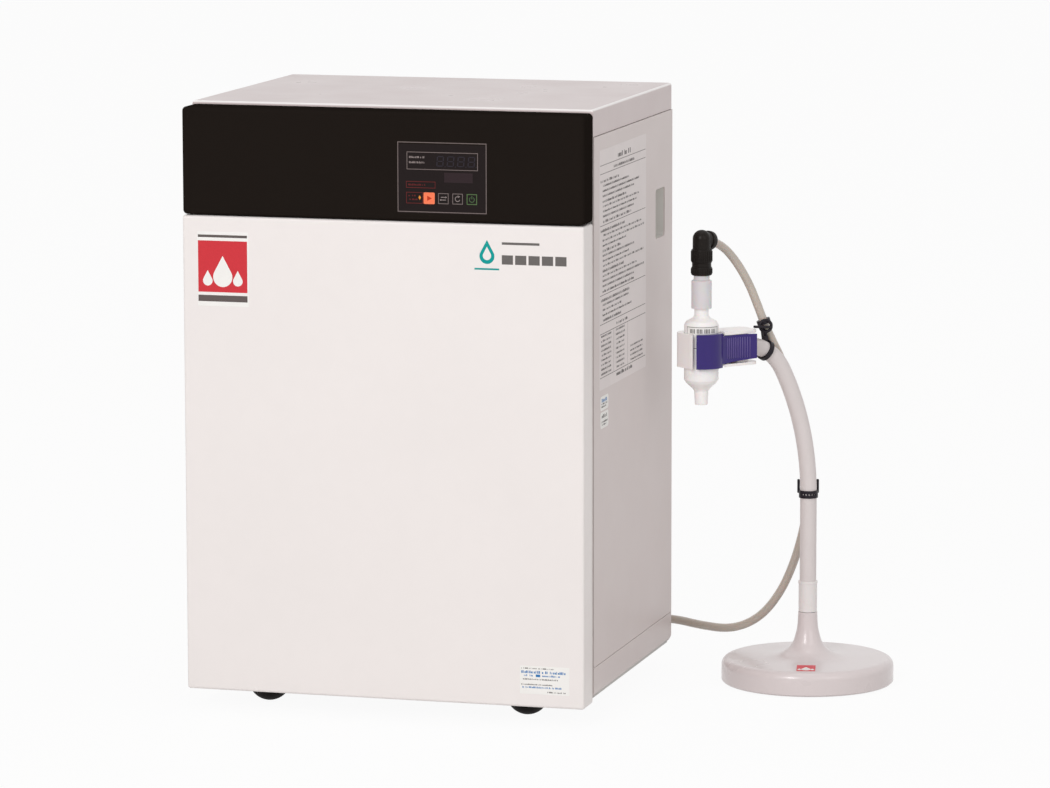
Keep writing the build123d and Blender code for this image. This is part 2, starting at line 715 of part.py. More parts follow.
def door_shell():
    """The folded white door: wide flanges, a hinge bush above and below, notched for the brackets."""
    shell = rounded_shell(DOOR_BOTTOM, DOOR_TOP, SHEET, DOOR_ROUND)
    x0 = LEFT + SHELL_INSET
    behind_pin = block(x0 - 1, HINGE_X, HINGE_Y, SHELL_BACK + 1, DOOR_BOTTOM - 1, DOOR_TOP + 1)
    swing = rod_z(HINGE_X, HINGE_Y, DOOR_BOTTOM - 1, DOOR_TOP + 1, HINGE_SWING_R)
    shell = shell - (behind_pin - swing)
    left_rear = block(x0 - 1, x0 + SHEET, HINGE_Y, SHELL_BACK, DOOR_BOTTOM + SHEET, DOOR_TOP - SHEET)
    shell = shell - left_rear
    for level in hinge_levels():
        z0, z1 = level - NOTCH_CLEAR, level + BRACKET_T + NOTCH_CLEAR
        shell = shell - block(x0 - 1, x0 + SHEET, FRONT + NOTCH_DEPTH, SHELL_BACK, z0, z1)
    low_bush = rod_z(HINGE_X, HINGE_Y, DOOR_BOTTOM, DOOR_BOTTOM + SHEET + BUSH_H, BUSH_R)
    high_bush = rod_z(HINGE_X, HINGE_Y, DOOR_TOP - SHEET - BUSH_H, DOOR_TOP, BUSH_R)
    shell = shell + low_bush + high_bush
    bore = rod_z(HINGE_X, HINGE_Y, DOOR_BOTTOM - 1, DOOR_TOP + 1, PIN_R + PIN_FIT)
    save("door_shell", shell - bore)


def hinge_brackets():
    """Two angle brackets on the casing whose plates carry the hinge pins."""
    low, high = hinge_levels()
    brackets = []
    pins = []
    for level, up in ((low, 1), (high, -1)):
        mount_y = CASING_FRONT if up > 0 else FRAME_FRONT
        x0, x1 = HINGE_X - BRACKET_HALF, HINGE_X + BRACKET_HALF
        plate = block(x0, x1, HINGE_Y, mount_y, level, level + BRACKET_T)
        eye = rod_z(HINGE_X, HINGE_Y, level, level + BRACKET_T, BRACKET_HALF)
        foot_z0 = level if up > 0 else level + BRACKET_T - BRACKET_FOOT_H
        foot_front = SHELL_BACK + 0.2
        foot = block(x0, x1, foot_front, mount_y, foot_z0, foot_z0 + BRACKET_FOOT_H)
        if up > 0:
            foot = foot & block(LEFT, RIGHT, FRONT, REAR, level, SKIRT_TOP)
        hole = rod_z(HINGE_X, HINGE_Y, level - 1, level + BRACKET_T + 1, PIN_R)
        brackets.append(plate + eye + foot - hole)
        if up > 0:
            pins.append(rod_z(HINGE_X, HINGE_Y, DOOR_BOTTOM, level + BRACKET_T, PIN_R))
        else:
            pins.append(rod_z(HINGE_X, HINGE_Y, level, DOOR_TOP, PIN_R))
    save("hinge_brackets", *brackets, *pins)


def door_catch():
    """A magnet block on the frame and the steel plate on the door that it pulls."""
    x1 = RIGHT - SHELL_INSET - SHEET
    z0, z1 = CATCH_Z - CATCH_H / 2, CATCH_Z + CATCH_H / 2
    block_front = FRAME_FRONT - CATCH_D
    magnet = block(x1 - CATCH_W - 1, x1 - 1, block_front, FRAME_FRONT, z0, z1)
    save("door_catch", fillet(magnet.edges().filter_by(Axis.Y), 1.5))
    plate_back = block_front - STRIKER_GAP
    plate = block(x1 - CATCH_W, x1, plate_back - STRIKER_T, plate_back, z0 + 4, z1 - 4)
    tab = block(x1 - STRIKER_T, x1, plate_back - 12, plate_back, z0 + 4, z1 - 4)
    save("striker_plate", plate + tab)


def door_liner():
    """The moulded lining that stiffens the door from behind."""
    x0, x1 = LEFT + LINER_INSET_X, RIGHT - LINER_INSET_X
    z0, z1 = DOOR_BOTTOM + LINER_INSET_Z, DOOR_TOP - LINER_INSET_Z
    y0 = FRONT + SHEET
    liner = block(x0, x1, y0, y0 + LINER_T, z0, z1)
    liner = fillet(liner.edges().filter_by(Axis.Y), 8)
    step = (x1 - x0) / (LINER_RIBS + 1)
    for i in range(LINER_RIBS):
        x = x0 + (i + 1) * step
        liner = liner + block(x - 4, x + 4, y0 + LINER_T, y0 + LINER_T + LINER_RIB, z0 + 20, z1 - 20)
    save("door_liner", liner)


# Cartridges

def cartridge(name, x, radius, bottom):
    """A tall canister with a domed bottom, a shoulder, a neck and two bayonet lugs."""
    profile = [
        (0, bottom),
        (radius - DOME_H, bottom),
        (radius - 8, bottom + 5),
        (radius, bottom + DOME_H),
        (radius, SHOULDER_Z - DOME_H),
        (radius - 10, SHOULDER_Z - 6),
        (NECK_R + 4, SHOULDER_Z),
        (NECK_R, SHOULDER_Z + 4),
        (NECK_R, NECK_TOP),
        (0, NECK_TOP),
    ]
    body = turned(profile)
    rib_z0, rib_z1 = bottom + DOME_H + 4, bottom + DOME_H + 50
    for i in range(GRIP_RIBS):
        rib = block(radius - 1, radius + GRIP_RIB_OUT, -1.5, 1.5, rib_z0, rib_z1)
        body = body + Rot(0, 0, i * 360 / GRIP_RIBS) * rib
    lug_out = NECK_R + LUG_OUT
    lugs = block(-lug_out, lug_out, -LUG_W / 2, LUG_W / 2, LUG_Z, LUG_Z + LUG_H)
    lugs = lugs & rod_z(0, 0, LUG_Z, LUG_Z + LUG_H, lug_out)
    save(name, Pos(LEFT + x, FRONT + CARTRIDGE_Y, 0) * (body + lugs))


def cartridge_head(name, x, ports):
    """The fixed cap a cartridge twists into: a round bore, a lug groove and two entry slots."""
    body = rod_z(0, 0, HEAD_BOTTOM, SHELF_Z, HEAD_R)
    body = fillet(body.edges().group_by(Axis.Z)[0], HEAD_ROUND)
    for turn in ports:
        body = body + Rot(0, 0, turn) * rod_x(HEAD_R - 6, HEAD_R + PORT_LENGTH, 0, PORT_Z, PORT_R)
    bore = rod_z(0, 0, HEAD_BOTTOM - 1, NECK_TOP + 1, NECK_R + NECK_FIT)
    lug_out = NECK_R + LUG_OUT + LUG_PLAY
    groove = rod_z(0, 0, LUG_Z - LUG_PLAY, LUG_Z + LUG_H + LUG_PLAY, lug_out)
    half = LUG_W / 2 + LUG_PLAY
    entry = block(-lug_out, lug_out, -half, half, HEAD_BOTTOM - 1, LUG_Z + LUG_H + LUG_PLAY)
    head = body - bore - groove - Rot(0, 0, 90) * entry
    save(name, Pos(LEFT + x, FRONT + CARTRIDGE_Y, 0) * head)


# Water path

def nut_y(x, z, y0, y1, r):
    """A hexagonal nut along Y."""
    hexagon = extrude(RegularPolygon(r, 6), amount=y1 - y0)
    return Pos(x, y1, z) * Rot(90, 0, 0) * hexagon


def feed_inlet():
    """The threaded bulkhead for the feed water, in line with the valve."""
    x = LEFT + VALVE_X
    out_y = REAR + INLET_LENGTH
    nut_face = REAR - SHEET + NUT_T
    through = rod_y(x, REAR_INSIDE - INLET_INSIDE, nut_face, VALVE_Z, INLET_R - INLET_FIT)
    body = through + rod_y(x, nut_face, out_y, VALVE_Z, INLET_R)
    outer_nut = nut_y(x, VALVE_Z, REAR - SHEET, REAR - SHEET + NUT_T, NUT_R)
    inner_nut = nut_y(x, VALVE_Z, REAR_INSIDE - NUT_T, REAR_INSIDE, NUT_R)
    for i in range(4):
        y = REAR + 8 + i * 3
        ring = rod_y(x, y, y + 1.2, VALVE_Z, INLET_R + 1) - rod_y(x, y, y + 1.2, VALVE_Z, INLET_R - 0.8)
        body = body - ring
    bore = rod_y(x, REAR + 2, out_y + 1, VALVE_Z, INLET_R - 4)
    save("feed_inlet", body + outer_nut + inner_nut - bore)


def solenoid_valve():
    """The inlet valve: a brass body, a coil, a plunger that lifts in it and its spring."""
    x, y = LEFT + VALVE_X, FRONT + VALVE_Y
    z0 = VALVE_Z - VALVE_H / 2
    z1 = VALVE_Z + VALVE_H / 2
    body = block(x - VALVE_W / 2, x + VALVE_W / 2, y - VALVE_D / 2, y + VALVE_D / 2, z0, z1)
    body = fillet(body.edges().filter_by(Axis.Z), 4)
    body = body + rod_y(x, y - VALVE_D / 2 - 8, y + VALVE_D / 2 + 8, VALVE_Z, PORT_R)
    leg = block(x - VALVE_W / 2, x + VALVE_W / 2, y - 8, y + 8, FLOOR_Z, z0)
    chamber = rod_z(x, y, VALVE_Z, z1 + 1, COIL_BORE)
    save("solenoid_valve_body", body + leg - chamber)
    coil = block(x - COIL_W / 2, x + COIL_W / 2, y - COIL_W / 2, y + COIL_W / 2, z1, z1 + COIL_H)
    coil = fillet(coil.edges().filter_by(Axis.Z), 6)
    tab = block(x - 4, x + 4, y - COIL_W / 2 - 8, y - COIL_W / 2, z1 + 20, z1 + 26)
    coil_bore = rod_z(x, y, z1 - 1, z1 + COIL_H - 3, COIL_BORE)
    save("solenoid_coil", coil + tab - coil_bore)
    rest = VALVE_Z + 0.3
    plunger = rod_z(x, y, rest, rest + PLUNGER_H, PLUNGER_R)
    plunger = plunger - rod_z(x, y, rest + PLUNGER_H - 6, rest + PLUNGER_H + 1, VALVE_SPRING_R + 0.8)
    save("valve_plunger", plunger)
    spring_z0 = rest + PLUNGER_H - 6
    spring_z1 = z1 + COIL_H - 3
    wire = VALVE_SPRING_WIRE
    helix = Helix(
        pitch=(spring_z1 - spring_z0 - 2 * wire) / VALVE_SPRING_TURNS,
        height=spring_z1 - spring_z0 - 2 * wire,
        radius=VALVE_SPRING_R,
    )
    ring = Plane(origin=helix @ 0, z_dir=helix % 0) * Circle(wire)
    spring = sweep(ring, path=helix)
    save("valve_spring", Pos(x, y, spring_z0 + wire) * spring)


def pressure_regulator():
    """The regulator behind the door and its fluted hand knob."""
    x, y = LEFT + VALVE_X, FRONT + REGULATOR_Y
    half = REGULATOR_W / 2
    z0, z1 = REGULATOR_Z - REGULATOR_H / 2, REGULATOR_Z + REGULATOR_H / 2
    body = block(x - half, x + half, y - half, y + half, z0, z1)
    body = fillet(body.edges().filter_by(Axis.Z), 5)
    body = body + rod_z(x, y, z0 - 8, z1 + 8, PORT_R)
    neck_front = y - half - 8
    body = body + rod_y(x, neck_front, y - half, REGULATOR_Z, KNOB_R - 3)
    spindle_front = neck_front - KNOB_GAP - KNOB_L / 2
    body = body + rod_y(x, spindle_front, neck_front, REGULATOR_Z, 3)
    wall_side = block(x + half, RIGHT - SHEET, y - 8, y + 8, REGULATOR_Z - 12, REGULATOR_Z + 12)
    save("pressure_regulator", body + wall_side)
    knob_back = neck_front - KNOB_GAP
    knob = rod_y(x, knob_back - KNOB_L, knob_back, REGULATOR_Z, KNOB_R)
    knob = fillet(knob.edges().group_by(Axis.Y)[0], 1.5)
    for i in range(KNOB_FLUTES):
        angle = math.radians(i * 360 / KNOB_FLUTES)
        fx = x + (KNOB_R + 1.5) * math.cos(angle)
        fz = REGULATOR_Z + (KNOB_R + 1.5) * math.sin(angle)
        knob = knob - rod_y(fx, knob_back - KNOB_L + 2, knob_back + 1, fz, 2.6)
    bore = rod_y(x, spindle_front - 0.5, knob_back + 1, REGULATOR_Z, 3.05)
    save("regulator_knob", knob - bore)


def resistivity_cell():
    x0 = LEFT + CELL_X
    y = REAR_INSIDE - TRAY_REAR_ROUND - CELL_D / 2
    body = block(x0, x0 + CELL_W, y - CELL_D / 2, y + CELL_D / 2, FLOOR_Z, FLOOR_Z + CELL_H)
    body = fillet(body.edges().filter_by(Axis.Z), 4)
    body = body + rod_x(x0 - 8, x0 + CELL_W + 8, y, OUTLET_Z, PORT_R)
    probe = rod_z(x0 + CELL_W / 2, y, FLOOR_Z + CELL_H, FLOOR_Z + CELL_H + 14, 6)
    save("resistivity_cell", body + probe)
    return y


def product_outlet(cell_y):
    """The outlet low on the back: a bulkhead with an elbow that points to the stand."""
    x = LEFT + OUTLET_X
    elbow_y = REAR + OUTLET_OUT
    arm_r = PORT_R - OUTLET_STEP
    half = PORT_R + OUTLET_STEP
    body = rod_y(x, cell_y, elbow_y, OUTLET_Z, arm_r)
    body = body + nut_y(x, OUTLET_Z, REAR, REAR + OUTLET_NUT_T, OUTLET_NUT_R)
    for y, way in ((elbow_y, 1), (cell_y, -1)):
        knee = block(x - half, x + half, y - half, y + half, OUTLET_Z - half, OUTLET_Z + half)
        knee = fillet(knee.edges(), OUTLET_KNEE_ROUND)
        mouth = x + way * OUTLET_MOUTH
        body = body + knee + rod_x(min(x, mouth), max(x, mouth), y, OUTLET_Z, arm_r)
    save("product_outlet", body)


def tube_along(points, radius, bend):
    """A round tube along straight runs with the same bend at each corner."""
    path = Polyline(*points) if len(points) == 2 else FilletPolyline(*points, radius=bend)
    ring = Plane(origin=path @ 0, z_dir=path % 0) * Circle(radius)
    return sweep(ring, path=path)


def internal_tubes(cell_y):
    """The clipped tubes from valve to regulator, through both heads and on to the outlet."""
    x = LEFT + VALVE_X
    valve_y = FRONT + VALVE_Y
    cart_y = FRONT + CARTRIDGE_Y
    reg_y = FRONT + REGULATOR_Y
    pre_x, deion_x = LEFT + PRE_X, LEFT + DEION_X
    head_out = HEAD_R + PORT_LENGTH
    feed = [(x, REAR_INSIDE - 14, VALVE_Z), (x, valve_y + VALVE_D / 2 + 8, VALVE_Z)]
    to_regulator = [
        (x, valve_y - VALVE_D / 2 - 8, VALVE_Z),
        (x, reg_y, VALVE_Z),
        (x, reg_y, REGULATOR_Z - REGULATOR_H / 2 - 8),
    ]
    to_pre = [
        (x, reg_y, REGULATOR_Z + REGULATOR_H / 2 + 8),
        (x, reg_y, PORT_Z),
        (pre_x + head_out, cart_y, PORT_Z),
    ]
    to_deion = [(pre_x - head_out, cart_y, PORT_Z), (deion_x + head_out, cart_y, PORT_Z)]
    to_cell = [
        (deion_x, cart_y + head_out, PORT_Z),
        (deion_x, cell_y, PORT_Z),
        (deion_x, cell_y, OUTLET_Z),
        (LEFT + CELL_X - 8, cell_y, OUTLET_Z),
    ]
    to_outlet = [
        (LEFT + CELL_X + CELL_W + 8, cell_y, OUTLET_Z),
        (LEFT + OUTLET_X - OUTLET_MOUTH, cell_y, OUTLET_Z),
    ]
    bends = (0, 24, 24, 0, 30, 0)
    runs = (feed, to_regulator, to_pre, to_deion, to_cell, to_outlet)
    save("internal_tubes", *[tube_along(run, TUBE_R, bend) for run, bend in zip(runs, bends)])


# Electric parts

def power_supply():
    """The boxed supply on the shelf, slotted on top, with its terminal strip."""
    z0 = SHELF_Z + SHEET
    x0, y0 = LEFT + SUPPLY_X, FRONT + SUPPLY_Y
    case = block(x0, x0 + SUPPLY_W, y0, y0 + SUPPLY_D, z0, z0 + SUPPLY_H)
    case = fillet(case.edges().group_by(Axis.Z)[-1], 2)
    for i in range(8):
        y = y0 + 12 + i * 9
        case = case - block(x0 + 20, x0 + SUPPLY_W - 50, y, y + 3, z0 + SUPPLY_H - 2, z0 + SUPPLY_H + 1)
    terminal = block(x0 - 12, x0 + 1, y0 + 15, y0 + 75, z0, z0 + 16)
    for i in range(4):
        y = y0 + 19 + i * 14
        terminal = terminal - block(x0 - 10, x0 - 4, y, y + 10, z0 + 10, z0 + 17)
    save("power_supply", case + terminal)


def mains_inlet():
    """The mains socket at the back, with three flat pins in its well."""
    x = LEFT + SOCKET_X
    gap = 0.2
    body = block(
        x - SOCKET_W / 2 + gap, x + SOCKET_W / 2 - gap, REAR_INSIDE - SOCKET_DEEP, REAR - SHEET,
        SOCKET_Z - SOCKET_H / 2 + gap, SOCKET_Z + SOCKET_H / 2 - gap,
    )
    flange = block(
        x - SOCKET_W / 2 - 3, x + SOCKET_W / 2 + 3, REAR - SHEET, REAR + 2,
        SOCKET_Z - SOCKET_H / 2 - 3, SOCKET_Z + SOCKET_H / 2 + 3,
    )
    flange = fillet(flange.edges().filter_by(Axis.Y), 3)
    mouth = block(
        x - SOCKET_MOUTH_W / 2, x + SOCKET_MOUTH_W / 2, REAR + 2 - SOCKET_MOUTH_DEEP, REAR + 3,
        SOCKET_Z - SOCKET_MOUTH_H / 2, SOCKET_Z + SOCKET_MOUTH_H / 2,
    )
    mouth = chamfer(mouth.edges().filter_by(Axis.Y).group_by(Axis.Z)[-1], 4)
    inlet = body + flange - mouth
    for dx, dz in ((-7, -2.5), (0, 2.5), (7, -2.5)):
        pin_back = REAR + 2 - SOCKET_MOUTH_DEEP - 1
        pin_z = SOCKET_Z + dz
        inlet = inlet + block(x + dx - 1, x + dx + 1, pin_back, REAR - 2, pin_z - 2, pin_z + 2)
    save("mains_inlet", inlet)


def breaker():
    """The mains breaker and its rocker, which tips about a cross axle."""
    x = LEFT + BREAKER_X
    gap = 0.2
    back = REAR - SHEET
    body = block(
        x - BREAKER_W / 2 + gap, x + BREAKER_W / 2 - gap, REAR_INSIDE - BREAKER_DEEP, back,
        SOCKET_Z - BREAKER_H / 2 + gap, SOCKET_Z + BREAKER_H / 2 - gap,
    )
    bezel = block(
        x - BREAKER_W / 2 - 2, x + BREAKER_W / 2 + 2, back, back + 3,
        SOCKET_Z - BREAKER_H / 2 - 2, SOCKET_Z + BREAKER_H / 2 + 2,
    )
    bezel = fillet(bezel.edges().filter_by(Axis.Y), 1.5)
    well = block(
        x - ROCKER_W / 2 - 0.5, x + ROCKER_W / 2 + 0.5, back - ROCKER_THICK - 4, back + 4,
        SOCKET_Z - ROCKER_H / 2 - 1.5, SOCKET_Z + ROCKER_H / 2 + 1.5,
    )
    axle_y = back
    axle = rod_x(x - BREAKER_W / 2 + 2, x + BREAKER_W / 2 - 2, axle_y, SOCKET_Z, ROCKER_AXLE_R)
    save("breaker_body", body + bezel - well + axle)
    half = ROCKER_H / 2
    outline = [(-half, -3), (half, -3), (half, 2), (0, 3.4), (-half, 2)]
    points = [(x - ROCKER_W / 2, axle_y + dy, SOCKET_Z + dz) for dz, dy in outline]
    side = make_face(Polyline(*points, close=True))
    rocker = extrude(side, amount=ROCKER_W, dir=(1, 0, 0))
    bore = rod_x(x - ROCKER_W, x + ROCKER_W, axle_y, SOCKET_Z, ROCKER_AXLE_R + PIN_FIT)
    tilt = Pos(0, axle_y, SOCKET_Z) * Rot(-ROCKER_TILT, 0, 0) * Pos(0, -axle_y, -SOCKET_Z)
    save("breaker_rocker", tilt * (rocker - bore))


def wire_loom():
    """The lead from the power supply through the frame to the board, and one to the breaker."""
    z = SHELF_Z + SHEET + SUPPLY_H / 2
    x0 = LEFT + SUPPLY_X + SUPPLY_W - 30
    board_x = LEFT + WINDOW_X + WINDOW_W / 2
    board_back = FRONT + BOARD_Y + BOARD_T
    middle_z = WINDOW_Z + WINDOW_H / 2
    to_board = [
        (x0, FRONT + SUPPLY_Y, z),
        (x0, FRONT + SUPPLY_Y - 60, z),
        (board_x, FRONT + 90, middle_z),
        (board_x, board_back, middle_z),
    ]
    breaker_x = LEFT + BREAKER_X
    breaker_front = REAR_INSIDE - BREAKER_DEEP
    terminal_x = LEFT + SUPPLY_X - 12
    low = SHELF_Z + SHEET + 8
    to_breaker = [
        (breaker_x, breaker_front, SOCKET_Z),
        (breaker_x, FRONT + SUPPLY_Y + 45, SOCKET_Z),
        (breaker_x + 20, FRONT + SUPPLY_Y + 45, low),
        (terminal_x, FRONT + SUPPLY_Y + 45, low),
    ]
    save("wire_loom", tube_along(to_board, 2.5, 14), tube_along(to_breaker, 2.5, 8))


def screws():
    """The pan-head screws that hold the back."""
    heads = []
    for x, z in screw_places():
        head = rod_y(x, REAR, REAR + SCREW_HEAD_T, z, SCREW_HEAD_R)
        head = fillet(head.edges().group_by(Axis.Y)[-1], 1.2)
        heads.append(head + rod_y(x, REAR - SCREW_LENGTH, REAR, z, SCREW_R))
    save("rear_screws", *heads)


# Stand

def stand_base():
    """The heavy round foot, flared up into the socket that the arm turns in."""
    edge_z = BASE_H - BASE_ROUND
    outline = [
        (SPINDLE_R + SPINDLE_FIT, PAD_T),
        (BASE_R - 1.5, PAD_T),
        (BASE_R, PAD_T + 1.5),
        (BASE_R, edge_z),
    ]
    rim = (BASE_R - BASE_ROUND, BASE_H)
    rim_middle = (BASE_R - BASE_ROUND * 0.29, BASE_H - BASE_ROUND * 0.29)
    flare_foot = (FLARE_R, 0, BASE_H + BASE_CROWN)
    neck = (SOCKET_TOP_R, 0, SOCKET_TOP_Z)
    lines = [Line((a[0], 0, a[1]), (b[0], 0, b[1])) for a, b in zip(outline, outline[1:])]
    lines.append(ThreePointArc((BASE_R, 0, edge_z), (rim_middle[0], 0, rim_middle[1]), (rim[0], 0, rim[1])))
    lines.append(Line((rim[0], 0, rim[1]), flare_foot))
    flare = [(r, 0, BASE_H + up) for r, up in FLARE_PROFILE]
    ends = [(-1, 0, 0.05), (-0.03, 0, 1)]
    lines.append(Spline(flare_foot, *flare, neck, tangents=ends))
    inner_top = (SPINDLE_R + SPINDLE_FIT, 0, SOCKET_TOP_Z)
    lines.append(Line(neck, inner_top))
    lines.append(Line(inner_top, (SPINDLE_R + SPINDLE_FIT, 0, PAD_T)))
    body = revolve(make_face(lines), Axis.Z, 360)
    plug = rod_z(0, 0, PAD_T, SPINDLE_BOTTOM - SOCKET_GAP, SPINDLE_R + SPINDLE_FIT)
    save("stand_base", Pos(POLE_X, POLE_Y, 0) * (body + plug))
    pad = rod_z(0, 0, 0, PAD_T, PAD_R) - rod_z(0, 0, -1, PAD_T + 1, PAD_R - 14)
    save("stand_pad", Pos(POLE_X, POLE_Y, 0) * pad)


def arm_point(theta):
    """A point (reach, height) of the arm's centre line where it leans theta degrees."""
    lean = math.radians(min(theta, ARM_BEND_DEG))
    reach = ARM_BEND_R * (1 - math.cos(lean))
    height = ARM_STRAIGHT_TOP + ARM_BEND_R * math.sin(lean)
    if theta > ARM_BEND_DEG:
        start = math.radians(ARM_BEND_DEG)
        end = math.radians(theta)
        reach = reach + ARM_TIP_BEND_R * (math.cos(start) - math.cos(end))
        height = height + ARM_TIP_BEND_R * (math.sin(end) - math.sin(start))
    return reach, height


def arm_place(reach, height, side=0.0):
    """A point of the arm's upright plane, side millimetres to the front right of it."""
    x = POLE_X - reach * ARM_DIR.X + side * SIDE_DIR.X
    y = POLE_Y - reach * ARM_DIR.Y + side * SIDE_DIR.Y
    return Vector(x, y, height)


CLAMP_Z = arm_point(90)[1]
CLAMP_LOW = CLAMP_Z - CLAMP_H / 2
CLAMP_HIGH = CLAMP_Z + CLAMP_H / 2
ARM_END_A = FILTER_REACH - arm_point(90)[0] - ARM_TIP_LENGTH


def arm_path():
    """Straight up, a long lean, a tight crook and a short level tip."""
    low = Vector(POLE_X, POLE_Y, COLLAR_TOP - ARM_SEAT_DEPTH)
    straight_top = arm_place(*arm_point(0))
    lean_mid = arm_place(*arm_point(ARM_BEND_DEG / 2))
    lean_end = arm_place(*arm_point(ARM_BEND_DEG))
    crook_mid = arm_place(*arm_point((ARM_BEND_DEG + 90) / 2))
    crook_end = arm_place(*arm_point(90))
    tip = arm_place(arm_point(90)[0] + ARM_TIP_LENGTH, CLAMP_Z)
    return Wire([
        Edge.make_line(low, straight_top),
        Edge.make_three_point_arc(straight_top, lean_mid, lean_end),
        Edge.make_three_point_arc(lean_end, crook_mid, crook_end),
        Edge.make_line(crook_end, tip),
    ])


def gooseneck():
    """A coated sleeve over a bendable core."""
    path = arm_path()
    start = Plane(origin=path @ 0, z_dir=path % 0)
    sleeve = sweep(start * Circle(ARM_R), path=path)
    tunnel = sweep(start * Circle(CORE_R + 0.05), path=path)
    save("gooseneck_sleeve", sleeve - tunnel)
    save("gooseneck_core", sweep(start * Circle(CORE_R), path=path))


def arm_collar():
    """The collar under the arm, with the spindle that turns in the stand."""
    z0 = SOCKET_TOP_Z + SOCKET_GAP
    seat = COLLAR_TOP - ARM_SEAT_DEPTH
    tube = rod_z(0, 0, z0, COLLAR_TOP, COLLAR_R)
    ring = rod_z(0, 0, COLLAR_TOP - COLLAR_RING, COLLAR_TOP, COLLAR_R + 0.4)
    ring = fillet(ring.edges(), 0.35)
    bore = rod_z(0, 0, seat, COLLAR_TOP + 1, ARM_R + ARM_FIT)
    spindle = rod_z(0, 0, SPINDLE_BOTTOM, seat, SPINDLE_R)
    save("arm_collar", Pos(POLE_X, POLE_Y, 0) * (tube + ring - bore + spindle))


# Clamp, drawn with X along a and -Y along b

def clamp_location():
    return Pos(FILTER_X, FILTER_Y, 0) * Rot(0, 0, ARM_AZIMUTH)


def wedge(start, end, z0, z1):
    """A pie slice round the filter axis, between two angles from a towards b."""
    reach = 60.0
    steps = max(2, math.ceil((end - start) / 30))
    points = [(0, 0)]
    for i in range(steps + 1):
        angle = math.radians(start + (end - start) * i / steps)
        points.append((reach * math.cos(angle), -reach * math.sin(angle)))
    return plan(points, z0, z1)


def upright(shape_points, z0, z1, round_r=0.0):
    body = plan(shape_points, z0, z1)
    return fillet(body.edges().filter_by(Axis.Z), round_r) if round_r else body


def clamp_body():
    """The white half: a jaw round the back of the filter, two plates and the arm's socket."""
    low, high = CLAMP_LOW, CLAMP_HIGH
    half = JAW_R - JAW_FLAT
    jaw = block(-half, half, -half, half, low, high)
    jaw = fillet(jaw.edges().filter_by(Axis.Z), half - JAW_CORNER)
    jaw = jaw & wedge(JAW_BODY_START, JAW_BODY_END, low, high)
    plates = []
    for z0 in (low, high - CLAMP_PLATE_T):
        sheet = block(0, PLATE_A, -PLATE_B, PLATE_B, z0, z0 + CLAMP_PLATE_T)
        ends = sheet.edges().filter_by(Axis.Z).group_by(Axis.X)[-1]
        plates.append(fillet(ends, 8))
    swing = rod_z(0, 0, low - 1, high + 1, JAW_R + LEVER_GAP) & wedge(20, 150, low - 1, high + 1)
    web = block(WEB_START, PLATE_A - PLATE_TAIL, PLATE_B - WEB_T, PLATE_B, low, high)
    body = jaw + plates + web - swing
    room = block(WEB_START, PLATE_A + 1, -PLATE_B, PLATE_B - WEB_T, low + CLAMP_PLATE_T, high - CLAMP_PLATE_T)
    body = body - (room & rod_z(0, 0, low, high, JAW_R + 6))
    socket = block(SOCKET_BLOCK_A, PLATE_A - PLATE_TAIL, -SOCKET_BLOCK_B, PLATE_B - WEB_T, low, high)
    body = body + socket - rod_z(0, 0, low - 1, high + 1, JAW_BORE_R)
    body = body - rod_x(ARM_END_A, PLATE_A + 1, 0, CLAMP_Z, ARM_R + ARM_FIT)
    body = body - rod_z(CLAMP_PIN_A, -CLAMP_PIN_B, low - 1, high + 1, CLAMP_PIN_R)
    save("clamp_body", clamp_location() * body)


